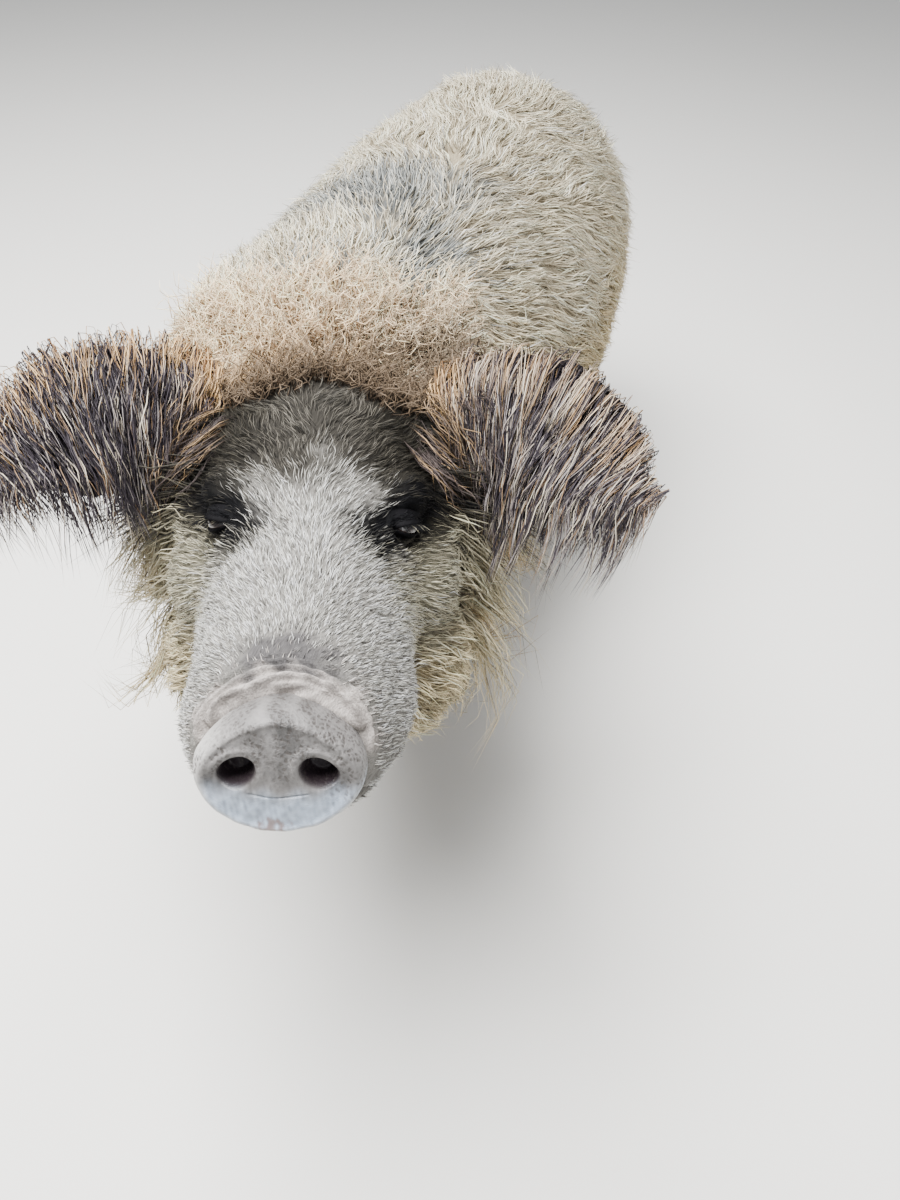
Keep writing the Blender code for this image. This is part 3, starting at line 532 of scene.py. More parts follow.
def edges_of(circle: Sequence[BMVert]) -> list[BMEdge]:
    """The edges of a ring of points."""
    return list({edge for vert in circle for edge in vert.link_edges})


def move_points(mesh: Mesh, points: Rows) -> None:
    """Puts the mesh's points at new places."""
    mesh.vertices.foreach_set("co", points.ravel())
    mesh.update()


def paint(mesh: Mesh, colours: Rows) -> None:
    """Writes the markings of each point to the mesh."""
    layer = mesh.color_attributes.new(MARKING, "FLOAT_COLOR", "POINT")
    values = np.hstack([colours, np.ones((len(colours), 1))])
    layer.data.foreach_set("color", values.astype(np.float32).ravel())


def loft(shape: BMesh, rings: Sequence[Matrix], sides: int) -> None:
    """Adds a closed skin over rings.

    Args:
        shape: The bmesh that it is added to.
        rings: The matrix that places a unit circle, for each ring.
        sides: How many sides the rings have.
    """
    previous = None
    for ring in rings:
        circle = bmesh.ops.create_circle(shape, cap_ends=False, segments=sides, radius=1.0, matrix=ring)
        edges = edges_of(circle["verts"])
        if previous is None:
            bmesh.ops.contextual_create(shape, geom=edges)
        else:
            bmesh.ops.bridge_loops(shape, edges=previous + edges)
        previous = edges
    bmesh.ops.contextual_create(shape, geom=previous)


def upright_ring(centre: Vector, half_width: float, half_height: float) -> Matrix:
    """A ring that stands across Y."""
    size = Matrix.Diagonal((half_width, 1.0, half_height, 1.0))
    return Matrix.Translation(centre) @ size @ Matrix.Rotation(math.radians(90), 4, "X")


def ellipsoid(shape: BMesh, place: Matrix, half: Point) -> None:
    """Adds an ellipsoid with the given half sizes to the bmesh."""
    stretched = place @ Matrix.Diagonal((*half, 1.0))
    bmesh.ops.create_icosphere(shape, subdivisions=4, radius=1.0, matrix=stretched)


def pair(root: str, tip: str) -> Rows:
    """The colours of hair at its root and at its tip."""
    return np.array([linear(root), linear(tip)])


def layered(tones: Rows, *layers: tuple[Rows, Rows]) -> Rows:
    """Blends pairs of colours in turn.

    Args:
        tones: The first pair.
        layers: For each further pair, its share at each place and the pair.

    Returns:
        The colours of the roots at all places, and those of the tips.
    """
    tones = tones[:, None]
    for share, added in layers:
        tones = mix(tones, added[:, None], share)
    return tones


class Palette:
    """The animal's colours, from the photo, named for where they are, for hair in pairs of root and tip."""

    muzzle = pair("#4D4945", "#FFFDF4")
    patch = pair("#403E3F", "#8E8B87")
    orbit = pair("#060607", "#141417")
    cheek = pair("#2B2922", "#F0E7C8")
    brow = pair("#0A0909", "#79746A")
    temple = pair("#0B0A09", "#4E4A41")
    jowl = pair("#4C4230", "#EBDAB0")
    ginger = pair("#6A4A30", "#BE9468")
    wool = pair("#7A5336", "#F0C68E")
    wool_dark, poll_tip = linear("#241E1A"), linear("#5C4F43")
    back = pair("#665B48", "#FFF3D6")
    saddle = pair("#262C31", "#A4A9A9")
    flank = pair("#5C4E37", "#E8D3A4")
    leg = pair("#6D6048", "#BFAD84")
    foot = pair("#33291F", "#6E5C45")
    ear = pair("#161316", "#3B363B")
    grey_streaks = [linear("#A39B99"), linear("#BDB0A3"), linear("#A08468"), linear("#7D7371")]
    ear_streaks = [*grey_streaks, linear("#E6DAC4"), linear("#958E8C")]
    # disc_wet: the wet lower disc's own colour with a painted bluish sheen.
    disc, disc_rim, disc_wet = linear("#6E6B69"), linear("#ABA8A4"), linear("#8D98A6")
    fold = pair("#A79F99", "#A79F99")
    # nostril: the nostrils' dark lining, darkened further as painted shade in the deep pits.
    nostril, stain = linear("#1E1419"), linear("#6B4F3F")
    lid = linear("#0E0D0F")


class Markings:
    """Where the colours lie. The skin and every tuft read the same markings."""

    eye_near = np.array([0.05, -0.156, 0.018])
    eye_far = np.array([0.104, -0.076, 0.03])
    orbit = 0.018
    fold_apart = 0.0047
    saddles = ((-0.08, 0.03, 0.13, 0.095), (-0.06, -0.215, 0.065, 0.04), (0.02, -0.1, 0.045, 0.08))

    def orbit_share(self, head: Rows) -> Rows:
        """How far a place belongs to the dark skin round an eye."""
        _, away = from_line(on_left(head), self.eye_near, self.eye_far)
        return ease(self.orbit + 0.018, self.orbit - 0.006, away + 0.005 * Drift(0.02, 3).at(head))

    def patch_share(self, head: Rows) -> Rows:
        """How far a place belongs to the bare grey skin above the snout."""
        away = np.linalg.norm((head - [0.0, -0.312, -0.012]) / [0.04, 0.026, 0.03], axis=1)
        return ease(1.25, 0.55, away + 0.12 * Drift(0.02, 5).at(head))

    def behind_disc(self, head: Rows) -> Rows:
        """How far places of the head's frame lie behind the snout's disc."""
        return head[:, 1] + 0.339 - 0.18 * (head[:, 2] + 0.069)

    def fold_share(self, head: Rows) -> Rows:
        """How far a place belongs to the bare folds right behind the snout's disc."""
        back = self.behind_disc(head) + 0.004 * Drift(0.02, 6).at(head)
        return ease(0.0165, 0.0095, back) * ease(-0.09, -0.06, head[:, 2]) * 0.85

    def creases(self, head: Rows) -> Rows:
        """The folds' wave behind the disc: 1 in a crease and -1 on a fold."""
        back = self.behind_disc(head) + 0.0012 * Drift(0.03, 31).at(head)
        return np.cos(2 * math.pi * back / self.fold_apart)

    def of_head(self, points: Rows) -> Rows:
        """Colours of root and tip on the head."""
        head = to_head(points)
        x, y, z = on_left(head).T
        wander = Drift(0.06, 11).at(points)
        cheek = ease(0.04, 0.1, x + 0.25 * (y + 0.18) + 0.014 * wander) * ease(-0.255, -0.165, y)
        brow = ease(-0.166, -0.104, y + 0.45 * (x - 0.03) + 0.02 * wander) * ease(-0.01, 0.03, z)
        temple = brow * ease(0.028, 0.062, x + 0.01 * wander)
        jowl = ease(-0.055, -0.105, z + 0.012 * wander) * ease(-0.21, -0.15, y) * ease(0.02, 0.06, x)
        back = ease(-0.07, 0.02, y - 0.3 * z) * ease(0.04, -0.03, z)
        tones = layered(
            Palette.muzzle,
            (cheek, Palette.cheek),
            (brow, Palette.brow),
            (temple, Palette.temple),
            (np.maximum(jowl, back), Palette.jowl),
            (0.5 * back * ease(-0.02, 0.05, y), Palette.ginger),
            (self.patch_share(head), Palette.patch),
            (self.fold_share(head), Palette.fold),
            (self.orbit_share(head), Palette.orbit),
        )
        shadow = 1 - 0.55 * self.fold_share(head) * np.maximum(self.creases(head), 0) ** 2
        return tones * shadow[:, None]

    def of_body(self, points: Rows) -> Rows:
        """Colours of root and tip on neck, body and legs."""
        x, y, z = points.T
        wander = Drift(0.16, 21).at(points)
        fine = Drift(0.05, 22).at(points)
        flank = ease(0.62, 0.5, z + 0.03 * wander)
        saddle = np.zeros(len(points))
        for at_x, at_y, half_x, half_y in self.saddles:
            away = np.hypot((x - at_x) / half_x, (y - at_y) / half_y) + 0.35 * fine
            saddle = np.maximum(saddle, ease(1.3, 0.4, away))
        saddle = saddle * ease(0.56, 0.63, z) * 0.9
        leg = ease(0.3, 0.2, z)
        foot = ease(0.13, 0.07, z + 0.01 * fine)
        nape = ease(-0.27, -0.34, y + 0.05 * fine) * ease(0.52, 0.6, z)
        return layered(
            Palette.back,
            (flank, Palette.flank),
            (saddle, Palette.saddle),
            (nape * 0.7, Palette.wool),
            (leg, Palette.leg),
            (foot, Palette.foot),
        )

    def at(self, points: Rows) -> Rows:
        """Colours of root and tip anywhere on the animal but the ears.

        Args:
            points: Places in the row frame.

        Returns:
            The colours of the roots at all places, and those of the tips.
        """
        head = to_head(points)
        behind = ease(0.02, 0.12, past_ears(head))
        return mix(self.of_head(points), self.of_body(points), behind)


@dataclass
class Strands:
    """Many thin closed tufts of three sides, each tapered to a tip, joined in one mesh.

    Attributes:
        lines: Middle lines, one row of stations for each tuft, the last at its tip.
        out: Direction away from the skin at each station.
        width: Each tuft's width at its root.
        root: Colours at the roots.
        tip: Colours at the tips.
        unwrap: Each root's place on an unwrap of the skin.
        taper: Width at each ring, as a share of the root's.
        flatness: Thickness as a share of the width.
        fade: How far up the tip's colour begins, more for a shorter pale tip.
    """

    lines: Rows
    out: Rows
    width: Rows
    root: Rows
    tip: Rows
    unwrap: Rows
    taper: Sequence[float]
    flatness: float = 0.5
    fade: float = 0.8

    def points(self) -> Rows:
        """All the corners, tuft by tuft: three for each ring, and the tip."""
        ahead = unit(np.gradient(self.lines, axis=1))
        side = unit(np.cross(ahead, self.out))
        up = np.cross(side, ahead)
        rings = len(self.taper)
        half = (self.width[:, None] * np.array(self.taper))[..., None] / 2
        middle, side, up = self.lines[:, :rings], side[:, :rings] * half, up[:, :rings] * half
        corners = np.stack([middle - side, middle + side, middle + up * 2 * self.flatness], axis=2)
        corners = corners.reshape(len(self.lines), rings * 3, 3)
        return np.concatenate([corners, self.lines[:, -1:]], axis=1).reshape(-1, 3)

    def pattern(self) -> tuple[list[int], list[int], list[float], list[float]]:
        """One tuft's faces.

        Returns:
            The corners of each face in turn, each face's number of corners, and how far round and along the
            tuft each of those corners lies, from 0 to 1.
        """
        rings = len(self.taper)
        corners, sizes = [0, 1, 2], [3]
        turned, along = [0.0, 1 / 3, 2 / 3], [0.0, 0.0, 0.15 / rings]
        for ring in range(rings):
            here, there = ring / rings, (ring + 1) / rings
            for j in range(3):
                low, beside = ring * 3 + j, ring * 3 + (j + 1) % 3
                if ring < rings - 1:
                    corners += [low, low + 3, beside + 3, beside]
                    turned += [j / 3, j / 3, (j + 1) / 3, (j + 1) / 3]
                    along += [here, there, there, here]
                    sizes.append(4)
                else:
                    corners += [low, rings * 3, beside]
                    turned += [j / 3, (j + 0.5) / 3, (j + 1) / 3]
                    along += [here, 1.0, here]
                    sizes.append(3)
        return corners, sizes, turned, along

    def colours(self) -> Rows:
        """A colour for each corner, from root to tip."""
        rings = len(self.taper)
        share = np.append(np.repeat(np.arange(rings) / rings, 3), 1.0) ** self.fade
        return mix(self.root[:, None], self.tip[:, None], share).reshape(-1, 3)

    def piece(self, name: str) -> Object:
        """The tufts as one object with their colours and their bake map."""
        corners, sizes, turned, along = self.pattern()
        count, each = len(self.lines), 3 * len(self.taper) + 1
        mesh = bpy.data.meshes.new(name)
        points = self.points()
        mesh.vertices.add(len(points))
        mesh.vertices.foreach_set("co", points.ravel())
        loops = (np.arange(count)[:, None] * each + np.array(corners)).ravel()
        mesh.loops.add(len(loops))
        mesh.loops.foreach_set("vertex_index", loops)
        starts = np.cumsum([0] + sizes[:-1])
        mesh.polygons.add(count * len(sizes))
        mesh.polygons.foreach_set("loop_start", (np.arange(count)[:, None] * len(corners) + starts).ravel())
        mesh.update(calc_edges=True)
        bake = mesh.uv_layers.new(name=BAKE_MAP)
        patch = columns(turned, along) * BAKE_PATCH
        place = np.clip(self.unwrap, 0, 1) * (1 - BAKE_PATCH)
        bake.data.foreach_set("uv", (place[:, None] + patch[None]).astype(np.float32).ravel())
        paint(mesh, self.colours())
        return as_piece(name, mesh)


@dataclass
class Hide:
    """The skin as a surface that hair grows on."""

    piece: Object

    def __post_init__(self) -> None:
        """Reads the skin's points, faces and facings."""
        mesh = self.piece.data
        mesh.calc_loop_triangles()
        self.points = corner_array(mesh)
        self.facing = corner_array(mesh, "normal")
        self.corners = np.empty(len(mesh.loop_triangles) * 3, np.int32)
        mesh.loop_triangles.foreach_get("vertices", self.corners)
        self.corners = self.corners.reshape(-1, 3)
        self.tree = BVHTree.FromPolygons(self.points.tolist(), self.corners.tolist())

    def scatter(self, count: int, weight: Field, rng: Random) -> tuple[Rows, Rows]:
        """Picks random roots.

        Args:
            count: How many.
            weight: How densely they grow at given places.
            rng: The random numbers.

        Returns:
            The roots, and the skin's facing at each.
        """
        a, b, c = (self.points[self.corners[:, i]] for i in range(3))
        area = np.linalg.norm(np.cross(b - a, c - a), axis=1) / 2
        chance = area * weight((a + b + c) / 3)
        picks = self.corners[rng.choice(len(area), count, p=chance / chance.sum())]
        u, v = rng.random((2, count, 1))
        over = u + v > 1
        u, v = np.where(over, 1 - u, u), np.where(over, 1 - v, v)
        shares = (1 - u - v, u, v)
        roots = sum(share * self.points[picks[:, i]] for i, share in enumerate(shares))
        facing = sum(share * self.facing[picks[:, i]] for i, share in enumerate(shares))
        return roots, unit(facing)

    def nearest(self, points: Rows) -> tuple[Rows, Rows]:
        """The skin's nearest place to each point, and its facing there."""
        places, faces = np.empty_like(points), np.empty(len(points), int)
        for i, point in enumerate(points.tolist()):
            place, _, face, _ = self.tree.find_nearest(point)
            places[i], faces[i] = place, face
        corners = self.corners[faces]
        away = np.linalg.norm(self.points[corners] - places[:, None], axis=2)
        share = 1 / np.maximum(away, 1e-5)
        facing = (self.facing[corners] * (share / share.sum(1, keepdims=True))[..., None]).sum(1)
        return places, unit(facing)


def nearest_of(places: Rows, points: Rows) -> Rows:
    """The number of the place that is nearest to each point."""
    tree = KDTree(len(places))
    for i, place in enumerate(places.tolist()):
        tree.insert(place, i)
    tree.balance()
    return np.array([tree.find(point)[1] for point in points.tolist()])


@dataclass
class Growth:
    """How one part of the coat grows.

    Attributes:
        name: The piece's name.
        slot: The record's slot of its finish.
        count: How many tufts.
        where: How densely they grow at given places.
        lie: The direction of the hair at places, before it is laid flat on the skin.
        length: Hair length at given places.
        unwrap: Places on an unwrap of the skin, from 0 to 1.
        width: A tuft's width at the root.
        rise: How steeply the hair stands off the skin, as a share of its length.
        family: How many tufts share one lock.
        pinch: How far a lock's tips draw together, from 0 to 1.
        wave: How far the lock swings to the sides, as a share of its length.
        frizz: How far each tuft strays from its lock, as a share of its length.
        taper: Width at each ring.
        seed: Picks the random numbers.
        light: How far tufts differ in lightness.
        dark: Share of tufts that stay as dark as their root.
        blend: How far tufts stray over the borders of the markings, in metres.
        fade: How far up the tip's colour begins.
    """

    name: str
    slot: Slot
    count: int
    where: Field
    lie: Lie
    length: Field
    unwrap: Field
    width: float = 0.0012
    rise: float = 0.28
    family: int = 5
    pinch: float = 0.5
    wave: float = 0.05
    frizz: float = 0.04
    taper: tuple[float, ...] = (0.8, 1.0, 0.6)
    seed: int = 1
    light: float = 0.14
    dark: float = 0.16
    blend: float = 0.012
    fade: float = 0.8

    def locks(self, hide: Hide, roots: Rows, out: Rows, rng: Random) -> tuple[Rows, Rows]:
        """The middle lines of the locks, which follow the skin.

        Args:
            hide: The skin.
            roots: The locks' roots.
            out: The skin's facing at each.
            rng: The random numbers.

        Returns:
            The lines' places and facings, station by station.
        """
        steps = len(self.taper)
        each = (len(roots), 1, 1)
        length = self.length(roots) * rng.uniform(0.85, 1.15, len(roots))
        here, facing = roots, out
        line, faces = [roots], [out]
        for _ in range(steps):
            ahead = flat_on(self.lie(here, facing), facing)
            here, facing = hide.nearest(here + ahead * (length / steps)[:, None])
            line.append(here)
            faces.append(facing)
        line, faces = np.stack(line, 1), np.stack(faces, 1)
        t = np.linspace(0, 1, steps + 1)[None, :, None]
        length = length[:, None, None]
        sideways = unit(np.cross(unit(np.gradient(line, axis=1)), faces))
        phase = rng.uniform(0, 2 * math.pi, each)
        turns = rng.uniform(0.9, 1.5, each)
        swing = self.wave * length * np.sqrt(t) * np.sin(2 * math.pi * turns * t + phase)
        rise = self.rise * rng.uniform(0.55, 1.45, each)
        lift = length * (rise * t**1.1 + 0.5 * self.wave * t * np.cos(2 * math.pi * turns * t + phase))
        return line + sideways * swing + faces * lift, faces

    def strands(self, hide: Hide, markings: Field) -> Strands:
        """Grows the tufts.

        Args:
            hide: The skin.
            markings: Gives the colours of root and tip at places.

        Returns:
            The tufts.
        """
        rng = np.random.default_rng(self.seed)
        roots, out = hide.scatter(self.count, self.where, rng)
        heads = roots[: max(1, self.count // self.family)]
        mine = nearest_of(heads, roots)
        lines, faces = self.locks(hide, heads, out[: len(heads)], rng)
        steps = len(self.taper)
        t = np.linspace(0, 1, steps + 1)[None, :, None]
        at = t[..., 0] * rng.uniform(0.62, 1.0, (self.count, 1)) * steps
        low = np.minimum(at.astype(int), steps - 1)
        share = (at - low)[..., None]
        line = lines[mine[:, None], low] * (1 - share) + lines[mine[:, None], low + 1] * share
        facing = unit(faces[mine[:, None], low] * (1 - share) + faces[mine[:, None], low + 1] * share)
        gather = 1 - self.pinch * t**1.2
        line = line + (roots - heads[mine])[:, None] * gather
        own = self.length(roots)[:, None, None] * self.frizz
        line = line + rng.normal(size=line.shape) * own * t - facing * np.where(t == 0, ROOT_DEPTH, 0.0)
        root, tip = markings(roots + rng.normal(0, self.blend, roots.shape))
        shade = rng.normal(1.0, self.light, (self.count, 1))
        stays_dark = rng.random(self.count) < self.dark
        tip = mix(root, tip, np.where(stays_dark, 0.25, rng.uniform(0.75, 1.15, self.count)))
        return Strands(
            lines=line,
            out=facing,
            width=self.width * rng.uniform(0.7, 1.3, self.count),
            root=np.clip(root * shade, 0, 1),
            tip=np.clip(tip * shade * rng.normal(1.0, 0.06, (self.count, 1)), 0, 1),
            unwrap=self.unwrap(roots),
            taper=self.taper,
            fade=self.fade,
        )


@dataclass
class Ear:
    """One ear: a cupped leaf that reaches sideways from the poll and hangs forwards, under long hair."""

    side: Side
    line: tuple = (
        (0.098, 0.01, 0.085), (0.142, -0.008, 0.098), (0.196, -0.03, 0.092), (0.246, -0.052, 0.062),
        (0.278, -0.068, 0.022),
    )
    half_width: tuple = ((0.04,), (0.062,), (0.072,), (0.058,), (0.012,))
    cup: tuple = ((0.03,), (0.034,), (0.028,), (0.018,), (0.004,))
    hang: tuple = (0.1, -0.62, -0.78)
    thick: float = 0.006
    hair: int = 3500
    under_hair: int = 700
    hair_length: tuple[float, float] = (0.062, 0.118)
    hair_width: float = 0.001
    crown: float = 0.023

    def at(self, along: Rows, across: Rows, lift: Rows) -> tuple[Rows, Rows, Rows]:
        """Places on the leaf.

        Args:
            along: 0 at the root to 1 at the tip.
            across: -1 at the upper edge to 1 at the hanging edge.
            lift: How far outside the leaf.

        Returns:
            The places, the leaf's facing and the way it hangs, in the row frame.
        """
        centre = curve(self.line, along)
        ahead = unit(along_curve(self.line, along, 0.05))
        way = np.array(self.hang)
        hang = unit(way - ahead * (ahead @ way)[:, None])
        out = unit(np.cross(ahead, hang))
        out = np.where(out[:, 2:] < 0, -out, out)
        half, cup = curve(self.half_width, along)[:, 0], curve(self.cup, along)[:, 0]
        place = centre + hang * (half * across)[:, None] + out * (lift - cup * across**2)[:, None]
        flip = np.array([self.side.value, 1, 1])
        return from_head(place * flip), turn_from_head(out * flip), turn_from_head(hang * flip)

    def leaf(self, shape: BMesh) -> None:
        """Adds the closed leaf to a bmesh."""
        made = bmesh.ops.create_grid(shape, x_segments=26, y_segments=18, size=1.0)["verts"]
        grid = np.array([vert.co[:] for vert in made])
        places, _, _ = self.at((grid[:, 0] + 1) / 2, grid[:, 1], np.zeros(len(grid)))
        for vert, place in zip(made, places):
            vert.co = place
        faces = list({face for vert in made for face in vert.link_faces})
        bmesh.ops.recalc_face_normals(shape, faces=faces)
        bmesh.ops.solidify(shape, geom=faces, thickness=self.thick)

    def strands(self, under: bool) -> Strands:
        """The ear's hair.

        Args:
            under: The hair inside the cup, and not over the back of the ear.

        Returns:
            The hair, from the leaf over its edge and down.
        """
        rng = np.random.default_rng(40 + self.side.value + 7 * under)
        count = self.under_hair if under else self.hair
        taper = (0.5, 1.0, 0.9, 0.6)
        lock = rng.integers(0, count // 7, count)
        pick = rng.random((count // 7, 4))[lock]
        own = rng.random((count, 4))
        along = np.clip(0.01 + 0.97 * pick[:, 0] + 0.05 * (own[:, 0] - 0.5), 0, 1)
        start = np.maximum(-1.0 + 1.9 * pick[:, 1] ** 1.9 + 0.14 * (own[:, 1] - 0.5), -1.0)
        low, high = self.hair_length
        length = (low + (high - low) * pick[:, 2]) * (0.75 + 0.35 * own[:, 2]) * (0.55 if under else 1.0)
        length *= 0.7 + 0.3 * ease(0.0, 0.35, along)
        if self.side is Side.RIGHT:
            length *= 0.66 + 0.14 * ease(0.25, 0.55, along)
        half = np.maximum(curve(self.half_width, along)[:, 0], 0.03)
        outward = (0.1 if self.side is Side.LEFT else 0.26) * (pick[:, 3] - 0.25)
        aside = 0.3 * outward[:, None] * HEAD_TURN[:, 0] * self.side.value
        crowned = (0.0 if under else 1.0) * ease(-0.4, -1.0, start) * own[:, 3]
        lines, faces = [], []
        for t in np.linspace(0, 1, len(taper) + 1):
            across = start + length * t / half
            lift = (0.003 + 0.013 * math.sin(t * 2.2) * (0.5 + own[:, 3])) * (1 if t else 0.0)
            lift = -self.thick - lift if under else lift
            here = np.clip(along + outward * t * length / 0.12, 0, 1)
            place, out, hang = self.at(here, np.minimum(across, 1.0), lift)
            place = place - hang * (self.crown * math.sin(math.pi * min(t * 1.1, 1.0)) * crowned)[:, None]
            past = np.maximum(across - 1.0, 0.0) * half
            down = unit(hang * 0.55 + np.array([0.0, 0.0, -1.2]) + aside)
            gather = 0.008 * t * columns(pick[:, 3] - own[:, 0], own[:, 1] - 0.5, own[:, 3] - 0.5)
            wave = 0.0045 * np.sin(5 * t + 6.3 * pick[:, 2])[:, None] * HEAD_TURN[:, 0]
            lines.append(place + down * past[:, None] + gather + wave * t)
            faces.append(-out if under else out)
        root, tip = self.tones(under, along, start, own[:, 2], rng)
        return Strands(
            lines=np.stack(lines, 1),
            out=np.stack(faces, 1),
            width=self.hair_width * rng.uniform(0.6, 1.3, count),
            root=root,
            tip=tip,
            unwrap=columns(along * 0.96, (start + 1) / 4 + (0.5 if under else 0.0)),
            taper=taper,
        )

    def tones(
        self, under: bool, along: Rows, start: Rows, own: Rows, rng: Random
    ) -> tuple[Rows, Rows]:
        """Colours of the ear's hair: blue-black with paler hairs, warmer at the root and the upper edge.

        Args:
            under: The hair inside the cup, and not over the back of the ear.
            along: Where each hair grows, from the ear's root to its tip.
            start: Where each hair grows across the leaf.
            own: A random share for each hair.
            rng: The random numbers.

        Returns:
            The colours of each hair's root and tip.
        """
        count = len(along)
        root = Palette.ear[0] * rng.uniform(0.7, 1.5, (count, 1))
        tip = Palette.ear[1] * rng.uniform(0.7, 1.6, (count, 1))
        streak = np.array(Palette.ear_streaks)[rng.integers(0, len(Palette.ear_streaks), count)]
        upper = 0.9 if self.side is Side.RIGHT else 0.45
        warm = upper * ease(-0.7, -0.98, start) + 0.8 * ease(0.22, 0.06, along)
        pale = 0.12 if under else (0.5 if self.side is Side.LEFT else 0.3)
        is_streak = (rng.random(count) < pale + 0.4 * warm) * 1.0
        warm = np.clip(warm, 0, 1)
        streak = mix(streak, mix(Palette.ginger[0], Palette.wool[1], own), warm)
        return mix(root, streak * 0.55, is_streak * (0.4 + 0.6 * warm)), mix(tip, streak, is_streak)

    def build(self, finish: Material) -> None:
        """Makes both layers of hair on this ear."""
        name = self.side.word
        dress(self.strands(False).piece(f"ear_hair_{name}"), finish, Slot.EAR)
        dress(self.strands(True).piece(f"ear_lining_{name}"), finish, Slot.EAR)


@dataclass
class Flesh:
    """The skin: one closed surface over body, neck, head, ears, legs and tail, inside the coat by its depth.

    A station of torso, skull and jaw has its place along Y, the middle's height, half height and half width.
    One of a leg has the middle's X, Y and Z, and the half sizes across and along. One of the tail has the
    middle's X, Y and Z, and the radius. An eye fold has its two ends, its radius and its height.
    """

    torso: tuple = (
        (-0.52, 0.515, 0.13, 0.135), (-0.46, 0.505, 0.18, 0.18), (-0.36, 0.488, 0.212, 0.214),
        (-0.24, 0.476, 0.224, 0.23), (-0.08, 0.468, 0.232, 0.24), (0.08, 0.47, 0.238, 0.242),
        (0.22, 0.482, 0.23, 0.232), (0.34, 0.488, 0.208, 0.21), (0.44, 0.488, 0.17, 0.174),
        (0.5, 0.49, 0.12, 0.124), (0.525, 0.49, 0.06, 0.064),
    )
    skull: tuple = (
        (0.16, -0.045, 0.12, 0.115), (0.08, -0.03, 0.142, 0.134), (0.0, -0.026, 0.142, 0.134),
        (-0.06, -0.034, 0.13, 0.12), (-0.11, -0.044, 0.112, 0.1), (-0.16, -0.056, 0.096, 0.086),
        (-0.21, -0.062, 0.08, 0.078), (-0.26, -0.068, 0.072, 0.074), (-0.3, -0.071, 0.064, 0.067),
        (-0.328, -0.07, 0.05, 0.056),
    )
    jaw: tuple = (
        (0.02, -0.13, 0.066, 0.098), (-0.08, -0.138, 0.058, 0.09), (-0.16, -0.132, 0.046, 0.072),
        (-0.23, -0.12, 0.04, 0.056), (-0.29, -0.112, 0.028, 0.042),
    )
    soft: tuple = (
        ((0.074, -0.05, -0.112), (0.06, 0.115, 0.078)), ((0.076, -0.08, -0.04), (0.046, 0.07, 0.05)),
        ((0.066, -0.088, 0.034), (0.03, 0.034, 0.022)),
        ((0.044, -0.235, -0.076), (0.038, 0.085, 0.046)), ((0.1, 0.012, 0.062), (0.034, 0.036, 0.034)),
    )
    foreleg: tuple = (
        (0.118, -0.27, 0.42, 0.066, 0.1), (0.124, -0.27, 0.33, 0.062, 0.078),
        (0.124, -0.268, 0.255, 0.047, 0.056), (0.122, -0.266, 0.2, 0.038, 0.043),
        (0.12, -0.268, 0.165, 0.037, 0.04), (0.119, -0.266, 0.115, 0.029, 0.031),
        (0.118, -0.266, 0.07, 0.033, 0.035), (0.118, -0.274, 0.046, 0.034, 0.036),
        (0.118, -0.28, 0.03, 0.034, 0.038),
    )
    hindleg: tuple = (
        (0.112, 0.3, 0.44, 0.092, 0.14), (0.126, 0.318, 0.35, 0.082, 0.112),
        (0.132, 0.352, 0.28, 0.058, 0.078), (0.13, 0.392, 0.225, 0.041, 0.053),
        (0.126, 0.414, 0.185, 0.036, 0.044), (0.123, 0.404, 0.13, 0.029, 0.032),
        (0.121, 0.392, 0.075, 0.033, 0.036), (0.12, 0.38, 0.048, 0.034, 0.037),
        (0.12, 0.372, 0.03, 0.034, 0.038),
    )
    tail: tuple = (
        (0.0, 0.5, 0.56, 0.024), (0.0, 0.535, 0.552, 0.02), (0.004, 0.56, 0.52, 0.016),
        (0.01, 0.57, 0.465, 0.013), (0.016, 0.572, 0.4, 0.011), (0.02, 0.574, 0.34, 0.008),
    )
    body_voxel: float = 0.0095
    head_voxel: float = 0.0041
    body_depth: float = 0.012
    face_depth: float = 0.0032
    jowl_depth: float = 0.009
    leg_depth: float = 0.004
    muzzle_depth: float = 0.001
    mouth_front: float = -0.345
    mouth_back: float = -0.165
    mouth_height: float = -0.104
    mouth_rise: float = 0.016
    fold_depth: float = 0.0021
    orbit: float = 0.038
    eye_folds: tuple = (
        ((0.045, -0.142, 0.042), (0.042, -0.172, 0.004), 0.004, 0.0034),
        ((0.052, -0.138, 0.04), (0.05, -0.165, 0.008), 0.0026, -0.0024),
        ((0.058, -0.158, 0.002), (0.092, -0.118, -0.006), 0.0042, 0.0022),
        ((0.05, -0.128, 0.052), (0.092, -0.084, 0.044), 0.009, 0.0016),
        ((0.052, -0.134, 0.043), (0.092, -0.092, 0.036), 0.0034, -0.0012),
    )

    def depth(self, points: Rows) -> Rows:
        """How far the skin lies under the coat's core at places of the row frame."""
        x, y, z = on_left(to_head(points)).T
        low = ease(-0.05, -0.1, z) * ease(-0.18, -0.12, y)
        on_head = self.face_depth + (self.jowl_depth - self.face_depth) * low
        on_head = on_head + (self.muzzle_depth - on_head) * ease(-0.27, -0.31, y)
        on_ear = ease(0.105, 0.135, x) * ease(-0.02, 0.02, z)
        on_head = on_head * (1 - on_ear)
        on_body = self.body_depth + (self.leg_depth - self.body_depth) * ease(0.34, 0.22, points[:, 2])
        behind = ease(0.02, 0.12, y) * (1 - on_ear)
        return on_head + (on_body - on_head) * behind

